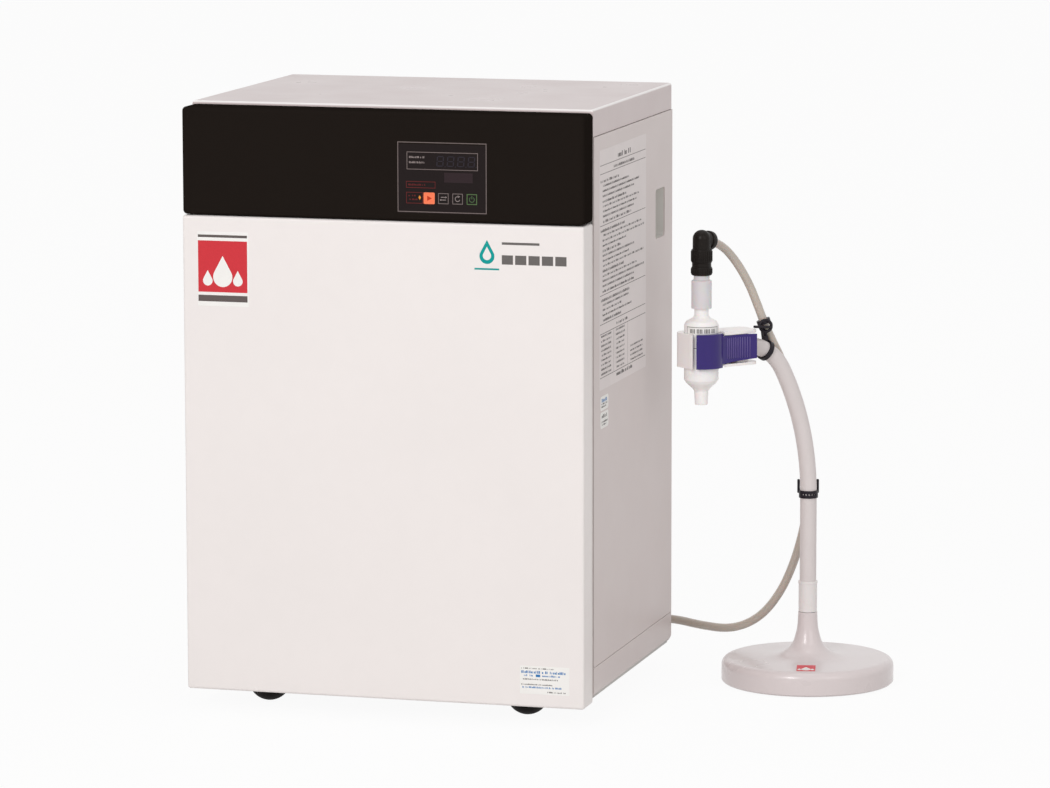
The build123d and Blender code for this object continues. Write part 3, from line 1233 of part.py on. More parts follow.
def clamp_lever():
    """The purple half: a jaw over the front of the filter and a thumb lever behind it."""
    low, high = CLAMP_LOW, CLAMP_HIGH
    in_low, in_high = low + CLAMP_PLATE_T + LEVER_GAP, high - CLAMP_PLATE_T - LEVER_GAP
    ring = rod_z(0, 0, low, high, JAW_R) - rod_z(0, 0, low - 1, high + 1, JAW_BORE_R)
    jaw = ring & wedge(JAW_LEVER_START, JAW_LEVER_END, low, high)
    start_a = JAW_R * math.cos(math.radians(JAW_LEVER_START)) - 1.5
    start_b = JAW_R * math.sin(math.radians(JAW_LEVER_START)) + 0.6
    outer = Spline(
        (start_a, -start_b, in_low),
        (LEVER_WAIST_A, -LEVER_WAIST_B, in_low),
        (LEVER_END_A, -LEVER_END_B, in_low),
    )
    inner = Spline(
        (start_a - 1, -start_b + LEVER_T, in_low),
        (LEVER_WAIST_A, -LEVER_WAIST_B + LEVER_T, in_low),
        (LEVER_END_A + 0.5, -LEVER_END_B + LEVER_T, in_low),
    )
    ends = [Line(outer @ 0, inner @ 0), Line(outer @ 1, inner @ 1)]
    strip = extrude(make_face([outer, inner] + ends), amount=in_high - in_low, dir=(0, 0, 1))
    slope = [
        (start_a, 0, in_low - 1),
        (LEVER_END_A + 5, 0, in_low - 1),
        (LEVER_END_A + 5, 0, in_low + LEVER_TAPER),
        (start_a, 0, in_low),
    ]
    under = extrude(make_face(Polyline(*slope, close=True)), amount=40, dir=(0, -1, 0))
    strip = strip - under
    ear_low = low + CLAMP_PLATE_T + CLAMP_SPRING_H + LEVER_GAP
    ear = rod_z(CLAMP_PIN_A, -CLAMP_PIN_B, ear_low, in_high, LEVER_EAR_R)
    neck = block(
        CLAMP_PIN_A - LEVER_EAR_R, CLAMP_PIN_A + LEVER_EAR_R, -LEVER_WAIST_B + 1, -CLAMP_PIN_B,
        ear_low, in_high,
    )
    lever = jaw + strip + ear + neck
    lever = lever - rod_z(CLAMP_PIN_A, -CLAMP_PIN_B, low - 1, high + 1, CLAMP_PIN_R + PIN_FIT)
    save("clamp_lever", clamp_location() * lever)
    pin = rod_z(CLAMP_PIN_A, -CLAMP_PIN_B, low, high, CLAMP_PIN_R)
    save("clamp_pin", clamp_location() * pin)
    wire = CLAMP_SPRING_WIRE
    height = CLAMP_SPRING_H - 2 * wire
    helix = Helix(pitch=height / CLAMP_SPRING_TURNS, height=height, radius=CLAMP_SPRING_R)
    coil = sweep(Plane(origin=helix @ 0, z_dir=helix % 0) * Circle(wire), path=helix)
    coil_place = Pos(CLAMP_PIN_A, -CLAMP_PIN_B, low + CLAMP_PLATE_T + wire)
    save("clamp_spring", clamp_location() * coil_place * coil)


# Final filter and elbow

def final_filter():
    """The capsule: a waisted shell with a nozzle below, its membrane, and the clear adapter."""
    outline = [
        (FILTER_BORE_R, FILTER_NOZZLE_BOTTOM),
        (FILTER_NOZZLE_TIP_R, FILTER_NOZZLE_BOTTOM),
        (FILTER_NOZZLE_R, FILTER_NOZZLE_BOTTOM + 1),
        (FILTER_NOZZLE_R + 0.6, FILTER_TAPER_Z - 1),
        (FILTER_NOZZLE_R + 2, FILTER_TAPER_Z + 1),
        (FILTER_R - 2, FILTER_BODY_BOTTOM - 1),
        (FILTER_R, FILTER_BODY_BOTTOM + 2),
        (FILTER_R, FILTER_BODY_TOP - 2.5),
        (FILTER_R - 2, FILTER_BODY_TOP + 1),
        (FILTER_NECK_R + 1.5, FILTER_NECK_Z - 2.5),
        (FILTER_NECK_R, FILTER_NECK_Z),
        (FILTER_NECK_R, FILTER_NECK_TOP),
        (FILTER_NECK_R - 2, FILTER_NECK_TOP),
        (FILTER_NECK_R - 2, SLEEVE_TOP - SPIGOT_BELOW_TOP),
        (FILTER_BORE_R, SLEEVE_TOP - SPIGOT_BELOW_TOP),
        (FILTER_BORE_R, FILTER_BODY_TOP - 2),
        (FILTER_R - FILTER_WALL, FILTER_BODY_TOP - 4),
        (FILTER_R - FILTER_WALL, FILTER_BODY_BOTTOM + 4),
        (FILTER_BORE_R, FILTER_BODY_BOTTOM + 2),
    ]
    save("filter_capsule", Pos(FILTER_X, FILTER_Y, 0) * turned(outline))
    core = rod_z(0, 0, FILTER_BODY_BOTTOM + 6, FILTER_BODY_TOP - 6, FILTER_R - FILTER_WALL - MEMBRANE_CLEAR)
    save("filter_membrane", Pos(FILTER_X, FILTER_Y, 0) * core)
    wall = [
        (FILTER_NECK_R - 2, FILTER_NECK_TOP),
        (SLEEVE_R, FILTER_NECK_TOP),
        (SLEEVE_R, SLEEVE_TOP - 1.5),
        (SLEEVE_THROAT_R, SLEEVE_TOP),
        (SLEEVE_THROAT_R, SLEEVE_THROAT_TOP),
        (FILTER_BORE_R, SLEEVE_THROAT_TOP),
        (FILTER_BORE_R, SLEEVE_TOP - 3),
        (SLEEVE_R - SLEEVE_WALL, SLEEVE_TOP - 3),
        (SLEEVE_R - SLEEVE_WALL, FILTER_NECK_TOP + SLEEVE_WALL),
        (FILTER_NECK_R - 2, FILTER_NECK_TOP + SLEEVE_WALL),
    ]
    save("filter_adapter", Pos(FILTER_X, FILTER_Y, 0) * turned(wall))


def elbow():
    """The black elbow: a domed body with a side port, and three grip nuts."""
    z0 = SLEEVE_THROAT_TOP
    crown = ELBOW_TOP - ELBOW_R
    stem = turned([
        (0, z0),
        (ELBOW_STEM_R, z0),
        (ELBOW_STEM_R, ELBOW_LOWER_NUT_TOP),
        (ELBOW_NECK_R, ELBOW_LOWER_NUT_TOP),
        (ELBOW_NECK_R, ELBOW_UPPER_NUT_Z),
        (ELBOW_STEM_R, ELBOW_UPPER_NUT_Z),
        (ELBOW_STEM_R, ELBOW_UPPER_NUT_TOP),
        (ELBOW_R, ELBOW_UPPER_NUT_TOP),
        (ELBOW_R, crown),
        (0, crown),
    ])
    dome = Pos(0, 0, crown) * Sphere(ELBOW_R)
    port_core = rod_x(0, ELBOW_PORT_REACH - ELBOW_PORT_T, 0, 0, ELBOW_R - 0.6)
    port_core = port_core + rod_x(0, ELBOW_PORT_REACH - 0.5, 0, 0, HOSE_R + 1)
    turn = Pos(0, 0, ELBOW_Z) * Rot(0, 0, ELBOW_PORT_AZIMUTH) * Rot(0, ELBOW_PORT_TILT, 0)
    port_core = turn * port_core - rod_z(0, 0, z0, ELBOW_UPPER_NUT_TOP, ELBOW_PORT_REACH + 5)
    save("elbow_body", Pos(FILTER_X, FILTER_Y, 0) * (stem + dome + port_core))
    lower = rod_z(0, 0, z0, ELBOW_LOWER_NUT_TOP, ELBOW_NUT_R)
    lower = fillet(lower.edges(), 1.2) - rod_z(0, 0, z0 - 1, ELBOW_LOWER_NUT_TOP + 1, ELBOW_STEM_R)
    upper = rod_z(0, 0, ELBOW_UPPER_NUT_Z, ELBOW_UPPER_NUT_TOP, ELBOW_NUT_R)
    upper_bore = rod_z(0, 0, ELBOW_UPPER_NUT_Z - 1, ELBOW_UPPER_NUT_TOP + 1, ELBOW_STEM_R)
    upper = fillet(upper.edges(), 1.2) - upper_bore
    port_start = ELBOW_PORT_REACH - ELBOW_PORT_T
    port = rod_x(port_start, ELBOW_PORT_REACH - 0.5, 0, 0, ELBOW_PORT_R)
    port = fillet(port.edges(), 1.0) - rod_x(port_start - 1, ELBOW_PORT_REACH + 1, 0, 0, HOSE_R + 1)
    place = Pos(FILTER_X, FILTER_Y, 0)
    port = turn * port - rod_z(0, 0, ELBOW_UPPER_NUT_Z, ELBOW_UPPER_NUT_TOP, ELBOW_NUT_R + 0.1)
    port = port - rod_z(0, 0, ELBOW_UPPER_NUT_Z, crown, ELBOW_R)
    save("elbow_nuts", place * lower, place * upper, place * port)


# Hose and straps

HOSE_UPPER_FROM_POLE = [
    (-76.8, -77.2, 425.5),
    (-70.7, -63, 421),
    (-61, -48, 406.2),
    (-49.5, -38, 382.8),
    (-41.5, -33.5, 360),
    (-35.7, -31.5, 343.5),
    (-30.2, -24.6, 327.8),
    (-24, -13.8, 309.8),
    (-18, -3.8, 284.7),
    (-11.4, 4.3, 251.8),
    (-5.6, 10.3, 216),
    (-3.7, 12, 197),
    (-3.7, 12, 182),
]
HOSE_LOWER_FROM_POLE = [
    (-3.7, 12, 182),
    (-3.7, 12, 164),
    (-9.5, 16.5, 137),
    (-20, 24, 106),
    (-35, 33, 76),
    (-57, 43, 50),
    (-86, 53, 36),
    (-119, 61, 37),
]


def from_pole(points):
    """The points as they lie, each given by its distance from the pole's axis and its height."""
    return [(POLE_X + dx, POLE_Y + dy, z) for dx, dy, z in points]


def hose_points():
    """The two runs of the hose: elbow to lower strap, and lower strap to outlet."""
    mouth_x = LEFT + OUTLET_X + OUTLET_MOUTH
    mouth_y = REAR + OUTLET_OUT
    lower = from_pole(HOSE_LOWER_FROM_POLE)
    lower.append((mouth_x + HOSE_STRAIGHT, mouth_y, OUTLET_Z))
    lower.append((mouth_x, mouth_y, OUTLET_Z))
    return from_pole(HOSE_UPPER_FROM_POLE), lower


def hose_radii(points):
    """The bend at each inner point: as large as its two runs allow."""
    radii = []
    for a, b, c in zip(points, points[1:], points[2:]):
        first, second = Vector(*b) - Vector(*a), Vector(*c) - Vector(*b)
        turn = math.radians(first.get_angle(second))
        radii.append(0.45 * min(first.length, second.length) / math.tan(turn / 2))
    return radii


def hose(name, points):
    radii = hose_radii(points)
    path = FilletPolyline(*points, radius=radii)
    ring = Plane(origin=path @ 0, z_dir=path % 0) * Circle(HOSE_R)
    tube = sweep(ring, path=path)
    expected = math.pi * HOSE_R ** 2 * path.length
    print(name, "radii", [round(r) for r in radii], "length", round(path.length, 1))
    print(name, "volume over section times length", round(tube.volume / expected, 4))
    save(name, tube)


def band(place, radius, thick, width):
    """A flat ring round a tube, centred on a plane square to it."""
    return place * (Cylinder(radius + thick, width) - Cylinder(radius, width + 1))


def straps():
    """The perforated band at the foot of the arm and the figure-eight band near the clamp."""
    upper_run, lower_run = hose_points()
    hose_x, hose_y = lower_run[0][0], lower_run[0][1]
    z = STRAP_Z
    arm_ring = rod_z(POLE_X, POLE_Y, z - STRAP_W / 2, z + STRAP_W / 2, ARM_R + STRAP_T)
    hose_ring = rod_z(hose_x, hose_y, z - STRAP_W / 2, z + STRAP_W / 2, HOSE_R + STRAP_T)
    gap = Vector(hose_x - POLE_X, hose_y - POLE_Y, 0)
    angle = math.degrees(math.atan2(gap.Y, gap.X))
    neck = Pos(POLE_X, POLE_Y, 0) * Rot(0, 0, angle) * block(
        4, gap.length, -HOSE_R - STRAP_T, HOSE_R + STRAP_T, z - STRAP_W / 2, z + STRAP_W / 2
    )
    ears = []
    for side in (-1, 1):
        lug = block(3, 6, side * ARM_R, side * (ARM_R + 2.4), z, z + 13)
        ears.append(Pos(POLE_X, POLE_Y, 0) * Rot(0, 0, angle) * fillet(lug.edges(), 0.8))
    strap = arm_ring + hose_ring + neck + ears
    strap = strap - rod_z(POLE_X, POLE_Y, z - 20, z + 20, ARM_R + 0.05)
    strap = strap - rod_z(hose_x, hose_y, z - 20, z + 20, HOSE_R + 0.05)
    front = math.degrees(math.atan2(-gap.Y, -gap.X))
    for i in range(-2, 3):
        hole = rod_x(ARM_R - 1, ARM_R + 4, 0, z, 0.9)
        strap = strap - Pos(POLE_X, POLE_Y, 0) * Rot(0, 0, front + i * 20) * hole
    save("lower_strap", strap)

    centre = arm_place(*arm_point(UPPER_STRAP_LEAN))
    back = arm_place(*arm_point(UPPER_STRAP_LEAN - 1)) - centre
    arm_plane = Plane(origin=centre, z_dir=back)
    big = band(arm_plane, ARM_R + 0.1, UPPER_STRAP_T, UPPER_STRAP_W)
    hose_a, hose_b = Vector(*upper_run[4]), Vector(*upper_run[5])
    hose_dir = (hose_b - hose_a).normalized()
    ring_centre = hose_a + (hose_b - hose_a) * 0.85
    small = band(Plane(origin=ring_centre, z_dir=hose_dir), HOSE_R + 0.5, UPPER_STRAP_T, UPPER_STRAP_W)
    link = ring_centre - centre
    link_plane = Plane(origin=centre + link * 0.5, x_dir=link, z_dir=ARM_DIR)
    bridge = link_plane * Box(link.length - 2, UPPER_STRAP_W + 1, UPPER_STRAP_W)
    bridge = bridge - arm_plane * Cylinder(ARM_R + 0.1, STRAP_CUT)
    bridge = bridge - Plane(origin=ring_centre, z_dir=hose_dir) * Cylinder(HOSE_R + 0.5, STRAP_CUT)
    save("upper_strap", big + small + bridge)


def main():
    os.makedirs("parts", exist_ok=True)
    foot_places = feet()
    base_tray(foot_places)
    side_panels()
    grip_cups()
    top_cover()
    rear_panel()
    front_frame()
    divider_shelf()
    control_panel_shell()
    panel_overlay()
    keys()
    control_board()
    door_shell()
    hinge_brackets()
    door_catch()
    door_liner()
    cartridge("pretreatment_cartridge", PRE_X, PRE_R, PRE_BOTTOM)
    cartridge("deionizer_cartridge", DEION_X, DEION_R, DEION_BOTTOM)
    cartridge_head("pretreatment_head", PRE_X, (0, 180))
    cartridge_head("deionizer_head", DEION_X, (0, 90))
    feed_inlet()
    solenoid_valve()
    pressure_regulator()
    cell_y = resistivity_cell()
    product_outlet(cell_y)
    internal_tubes(cell_y)
    power_supply()
    mains_inlet()
    breaker()
    wire_loom()
    screws()
    stand_base()
    gooseneck()
    arm_collar()
    clamp_body()
    clamp_lever()
    final_filter()
    elbow()
    upper_run, lower_run = hose_points()
    hose("hose_upper", upper_run)
    hose("hose_lower", lower_run)
    straps()


main()
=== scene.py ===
import bmesh
import bpy
import math
from mathutils import Matrix, Vector


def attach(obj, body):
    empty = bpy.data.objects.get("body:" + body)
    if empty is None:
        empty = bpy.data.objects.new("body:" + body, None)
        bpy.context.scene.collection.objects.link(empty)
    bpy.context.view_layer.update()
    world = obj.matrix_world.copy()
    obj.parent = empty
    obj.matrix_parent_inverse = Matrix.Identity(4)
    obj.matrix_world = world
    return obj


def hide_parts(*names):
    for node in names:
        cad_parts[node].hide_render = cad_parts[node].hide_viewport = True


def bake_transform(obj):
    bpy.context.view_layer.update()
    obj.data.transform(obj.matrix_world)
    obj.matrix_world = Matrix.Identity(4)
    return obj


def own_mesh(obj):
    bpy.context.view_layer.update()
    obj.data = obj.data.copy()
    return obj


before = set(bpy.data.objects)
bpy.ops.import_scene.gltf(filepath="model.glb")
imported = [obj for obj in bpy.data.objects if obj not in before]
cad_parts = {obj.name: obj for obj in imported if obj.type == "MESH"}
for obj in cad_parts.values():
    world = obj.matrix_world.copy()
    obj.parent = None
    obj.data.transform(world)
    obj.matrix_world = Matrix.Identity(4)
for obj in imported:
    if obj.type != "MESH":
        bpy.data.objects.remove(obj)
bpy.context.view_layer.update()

# The object's places, in metres: the cabinet's left side and front, the stand's pole and the filter's axis
LEFT = -0.302
FRONT = -0.1785
POLE = Vector((0.221, 0.0975, 0.0))
FILTER = Vector((0.13937, 0.00684, 0.0))
ARM_AZIMUTH = math.radians(48)

# Sizes in millimetres: the cabinet, and the crown of the stand's foot from where it slopes down
CABINET_W = 380
CROWN_R = 46.0
CROWN_Z = 24.8
CROWN_FALL = 0.8 / 28.0


def at(x, y, z):
    """A point given in millimetres from the cabinet's left side, its front face and the bench."""
    return Vector((LEFT + x / 1000, FRONT + y / 1000, z / 1000))


# Materials

def linear(rgb):
    """Display colour, 0 to 255, as scene colour."""
    out = []
    for value in rgb:
        c = value / 255
        out.append(c / 12.92 if c <= 0.04045 else ((c + 0.055) / 1.055) ** 2.4)
    return (*out, 1.0)


def shade(rgb, amount):
    """The same colour lighter (above 1) or darker (below 1)."""
    return tuple(min(255, max(0, v * amount)) for v in rgb)


class Surface:
    """A Principled surface whose colour, gloss and relief come from a few noise layers."""

    def __init__(self, name, rgb, rough=0.4, metal=0.0):
        self.mat = bpy.data.materials.new(name)
        self.mat.use_nodes = True
        self.tree = self.mat.node_tree
        self.tree.nodes.clear()
        self.out = self.add("ShaderNodeOutputMaterial")
        self.bsdf = self.add("ShaderNodeBsdfPrincipled")
        self.link(self.bsdf.outputs["BSDF"], self.out.inputs["Surface"])
        self.bsdf.inputs["Metallic"].default_value = metal
        self.coords = self.add("ShaderNodeTexCoord")
        self.rgb = rgb
        base = self.add("ShaderNodeRGB")
        base.outputs[0].default_value = linear(rgb)
        self.color = base.outputs[0]
        self.rough = rough
        self.rough_link = None
        self.normal = None

    def add(self, kind, **values):
        node = self.tree.nodes.new(kind)
        for key, value in values.items():
            setattr(node, key, value)
        return node

    def link(self, a, b):
        self.tree.links.new(a, b)

    def set(self, **values):
        """Sets shader sockets by name, with _ for a space."""
        for key, value in values.items():
            self.bsdf.inputs[key.replace("_", " ")].default_value = value
        return self

    def noise(self, scale, detail=2.0, stretch=(1, 1, 1)):
        mapping = self.add("ShaderNodeMapping")
        mapping.inputs["Scale"].default_value = stretch
        self.link(self.coords.outputs["Object"], mapping.inputs["Vector"])
        node = self.add("ShaderNodeTexNoise")
        node.inputs["Scale"].default_value = scale
        node.inputs["Detail"].default_value = detail
        node.inputs["Roughness"].default_value = 0.5
        self.link(mapping.outputs["Vector"], node.inputs["Vector"])
        return node.outputs["Fac"]

    def ramp(self, source, low, high, a=0.0, b=1.0):
        """Maps low to high onto a to b, and holds the ends."""
        node = self.add("ShaderNodeMapRange")
        node.inputs["From Min"].default_value = low
        node.inputs["From Max"].default_value = high
        node.inputs["To Min"].default_value = a
        node.inputs["To Max"].default_value = b
        self.link(source, node.inputs["Value"])
        return node.outputs["Result"]

    def tint(self, rgb, factor):
        """Mixes another colour in by a 0 to 1 mask."""
        node = self.add("ShaderNodeMix", data_type="RGBA")
        self.link(factor, node.inputs["Factor"])
        self.link(self.color, node.inputs["A"])
        node.inputs["B"].default_value = linear(rgb)
        self.color = node.outputs["Result"]
        return self

    def mottle(self, scale, amount, dark=0.9, detail=3.0, stretch=(1, 1, 1)):
        """Broad, faint changes of tone."""
        mask = self.ramp(self.noise(scale, detail, stretch), low=0.35, high=0.7, b=amount)
        return self.tint(shade(self.rgb, dark), mask)

    def specks(self, scale, rgb, amount=0.5, edge=0.68):
        """Small dots of another tone."""
        mask = self.ramp(self.noise(scale, detail=1.0), low=edge, high=edge + 0.04, b=amount)
        return self.tint(rgb, mask)

    def gloss(self, scale, spread, stretch=(1, 1, 1)):
        """Roughness that wanders round its middle value."""
        source = self.noise(scale, detail=3.0, stretch=stretch)
        self.rough_link = self.ramp(source, low=0.3, high=0.7, a=self.rough - spread, b=self.rough + spread)
        return self

    def relief(self, scale, strength, depth, detail=2.0, stretch=(1, 1, 1)):
        """A fine bump, depth in metres."""
        node = self.add("ShaderNodeBump")
        node.inputs["Strength"].default_value = strength
        node.inputs["Distance"].default_value = depth
        self.link(self.noise(scale, detail, stretch), node.inputs["Height"])
        if self.normal is not None:
            self.link(self.normal, node.inputs["Normal"])
        self.normal = node.outputs["Normal"]
        return self

    def worn_edges(self, rgb, radius=0.0009, amount=0.5):
        """A lighter or darker tone where the surface turns sharply."""
        bevel = self.add("ShaderNodeBevel", samples=4)
        bevel.inputs["Radius"].default_value = radius
        geometry = self.add("ShaderNodeNewGeometry")
        dot = self.add("ShaderNodeVectorMath", operation="DOT_PRODUCT")
        self.link(bevel.outputs["Normal"], dot.inputs[0])
        self.link(geometry.outputs["Normal"], dot.inputs[1])
        turn = self.ramp(dot.outputs["Value"], low=0.985, high=0.9, b=amount)
        broken = self.ramp(self.noise(scale=240, detail=3.0), low=0.35, high=0.62)
        both = self.add("ShaderNodeMath", operation="MULTIPLY")
        self.link(turn, both.inputs[0])
        self.link(broken, both.inputs[1])
        return self.tint(rgb, both.outputs[0])

    def paint_edge_highlight(self, rgb, amount):
        """Painted highlight: a lighter tone where a level face rolls over into an upright one, standing in
        for the gloss that a rounded edge catches from above.
        """
        geometry = self.add("ShaderNodeNewGeometry")
        split = self.add("ShaderNodeSeparateXYZ")
        self.link(geometry.outputs["Normal"], split.inputs[0])
        rise = self.ramp(split.outputs["Z"], low=0.25, high=0.6, b=amount)
        fall = self.ramp(split.outputs["Z"], low=0.93, high=0.995, a=1.0, b=0.0)
        both = self.add("ShaderNodeMath", operation="MULTIPLY")
        self.link(rise, both.inputs[0])
        self.link(fall, both.inputs[1])
        return self.tint(rgb, both.outputs[0])

    def done(self):
        self.link(self.color, self.bsdf.inputs["Base Color"])
        if self.rough_link is None:
            self.bsdf.inputs["Roughness"].default_value = self.rough
        else:
            self.link(self.rough_link, self.bsdf.inputs["Roughness"])
        if self.normal is not None:
            self.link(self.normal, self.bsdf.inputs["Normal"])
        return self.mat


def powder_coat(name, rgb, rough=0.42, painted_highlight=None):
    """Baked paint on sheet steel: faint cloudiness at two sizes, rubbed edges, uneven sheen, and, when a
    colour is given, a painted highlight on rounded edges.
    """
    s = Surface(name, rgb, rough)
    s.mottle(scale=7, amount=0.35, dark=0.98).mottle(scale=60, amount=0.2, dark=0.98)
    s.worn_edges(shade(rgb, 1.08), radius=0.0008, amount=0.5)
    # Optional painted highlight along rounded edges, in place of a real gloss highlight.
    if painted_highlight:
        s.paint_edge_highlight(painted_highlight, amount=0.9)
    s.gloss(scale=22, spread=0.03)
    return s.done()


def moulded(name, rgb, rough=0.45, grain=1400, strength=0.16, edge=None, spread=0.05, shine=0.5):
    """Moulded plastic with a fine spark-eroded grain."""
    s = Surface(name, rgb, rough)
    s.set(Specular_IOR_Level=shine)
    s.mottle(scale=25, amount=0.3, dark=0.95)
    s.specks(scale=2200, rgb=shade(rgb, 0.9), amount=0.3, edge=0.64)
    s.worn_edges(edge or shade(rgb, 1.12), radius=0.0005, amount=0.45)
    s.gloss(scale=120, spread=spread).relief(grain, strength, depth=0.00015)
    return s.done()


def glossy_plastic(name, rgb, rough=0.18, sub=0.0, coat=0.3, edge=None, shine=0.5):
    """Smooth plastic or enamel, with a clear coat and, if sub is given, a little light inside."""
    s = Surface(name, rgb, rough)
    s.mottle(scale=18, amount=0.25, dark=0.96)
    if edge:
        s.worn_edges(edge, radius=0.0006, amount=0.5)
    s.gloss(scale=26, spread=0.03)
    s.set(Coat_Weight=coat, Coat_Roughness=0.12, Specular_IOR_Level=shine)
    if sub:
        s.set(Subsurface_Weight=sub, Subsurface_Scale=0.004)
    return s.done()


def brushed(name, rgb, rough=0.32, stretch=(1, 1, 30)):
    """Metal with fine marks, drawn out where stretch is small."""
    s = Surface(name, rgb, rough, metal=1.0)
    s.mottle(scale=300, amount=0.4, dark=0.86, detail=2.0, stretch=stretch)
    s.gloss(scale=400, spread=0.09, stretch=stretch)
    s.relief(scale=700, strength=0.12, depth=0.0001, stretch=stretch)
    s.worn_edges(shade(rgb, 1.15), radius=0.0004, amount=0.4)
    return s.done()


def flat_ink(name, rgb, rough=0.5):
    """Printed ink: slightly uneven, with a trace of screen-print texture."""
    s = Surface(name, rgb, rough)
    s.set(Specular_IOR_Level=0.06)
    s.mottle(scale=900, amount=0.35, dark=0.9).gloss(scale=500, spread=0.05)
    s.relief(scale=2500, strength=0.08, depth=0.00005)
    return s.done()


M = {}
M["door_paint"] = powder_coat("door_paint", (242, 236, 234), 0.40)
M["casing_paint"] = powder_coat("casing_paint", (218, 207, 205), 0.44)
# The top cover's paint is a darker copy of the casing paint: painted shade that holds down its upward face,
# which takes more light from above. Its rounded front edge also carries a painted highlight.
M["cover_paint"] = powder_coat("cover_paint", (205, 190, 189), 0.3, painted_highlight=(255, 252, 251))
M["inner_steel"] = powder_coat("inner_steel", (196, 194, 190), 0.5)
M["panel_black"] = moulded(
    "panel_black", (33, 28, 25), 0.36, grain=900, strength=0.05, edge=(60, 50, 44), spread=0.03, shine=0.0
)
M["overlay"] = glossy_plastic("overlay_film", (34, 27, 27), 0.24, coat=0.0, edge=(58, 52, 52), shine=0.08)
M["display"] = glossy_plastic("display_dark", (36, 27, 30), 0.2, coat=0.0, shine=0.1)
M["board"] = moulded("board_green", (22, 92, 52), 0.4, grain=700, strength=0.12)
M["steel"] = brushed("steel_zinc", (196, 197, 200), 0.34)
M["spring_steel"] = brushed("spring_steel", (170, 170, 174), 0.28, stretch=(30, 30, 1))
M["shelf_steel"] = brushed("shelf_zinc", (186, 190, 194), 0.42, stretch=(1, 24, 1))
M["brass"] = brushed("brass_turned", (198, 160, 88), 0.3, stretch=(1, 26, 1))
M["rubber"] = moulded(
    "foot_rubber", (24, 20, 18), 0.72, grain=500, strength=0.35, edge=(52, 48, 46), spread=0.06, shine=0.15
)
M["liner"] = moulded("liner_plastic", (226, 226, 222), 0.5)
M["cart_white"] = glossy_plastic("cartridge_white", (232, 235, 238), 0.34, coat=0.1, edge=(205, 207, 208))
M["cart_blue"] = glossy_plastic("cartridge_blue", (66, 98, 150), 0.34, coat=0.1, edge=(110, 138, 180))
M["head_grey"] = moulded("head_grey", (82, 84, 88), 0.5)
M["coil"] = moulded("coil_black", (34, 34, 36), 0.55)
M["fitting"] = moulded("fitting_white", (228, 227, 222), 0.42, grain=1200, strength=0.1, edge=(200, 199, 194))
M["knob_blue"] = moulded("knob_blue", (28, 62, 128), 0.4)
M["tube_blue"] = glossy_plastic("tube_blue", (92, 132, 198), 0.25, sub=0.2, coat=0.2)
M["supply"] = brushed("supply_case", (184, 187, 190), 0.45, stretch=(20, 1, 1))
M["socket"] = moulded("socket_black", (26, 26, 27), 0.5)
M["wire"] = moulded("wire_black", (30, 30, 31), 0.45, grain=300, strength=0.2)
M["stand"] = glossy_plastic("stand_paint", (222, 212, 212), 0.3, edge=(238, 230, 230))
M["collar"] = glossy_plastic("collar_plastic", (234, 228, 227), 0.3, sub=0.05, coat=0.2, edge=(241, 236, 235))
M["sleeve"] = moulded(
    "arm_sleeve", (224, 216, 215), 0.42, grain=900, strength=0.06, edge=(238, 233, 231), spread=0.04
)
M["clamp_white"] = glossy_plastic(
    "clamp_white", (252, 246, 244), 0.3, sub=0.08, coat=0.2, edge=(250, 246, 244)
)
M["clamp_purple"] = glossy_plastic(
    "clamp_purple", (48, 30, 112), 0.24, sub=0.02, coat=0.15, edge=(84, 66, 148), shine=0.3
)
# The finger ribs are a lighter purple than the lever they sit on: painted sheen for the bright surroundings
# that the glossy thumb grip reflects.
M["rib_purple_sheen"] = moulded(
    "rib_purple_sheen", (98, 84, 146), 0.35, grain=900, strength=0.05, edge=(120, 106, 168), spread=0.04, shine=0.3
)
M["filter"] = glossy_plastic("filter_white", (253, 249, 248), 0.28, sub=0.12, coat=0.2, edge=(250, 247, 246))
M["adapter"] = glossy_plastic(
    "adapter_frost", (224, 219, 222), 0.36, sub=0.45, coat=0.2, edge=(238, 234, 236)
)
M["membrane"] = moulded("membrane", (240, 240, 236), 0.8, grain=400, strength=0.4)
M["elbow"] = moulded(
    "elbow_black", (28, 23, 20), 0.36, grain=800, strength=0.08, edge=(62, 54, 48), shine=0.14
)
M["strap"] = moulded("strap_black", (34, 29, 36), 0.4, grain=700, strength=0.08, edge=(66, 58, 66), shine=0.2)
M["key_black"] = glossy_plastic("key_black", (30, 24, 24), 0.26, coat=0.0, edge=(54, 48, 48), shine=0.1)
M["grip_cup"] = moulded("grip_cup_grey", (224, 222, 218), 0.5)
M["key_orange"] = glossy_plastic("key_orange", (252, 120, 74), 0.32, coat=0.2, edge=(255, 156, 112))

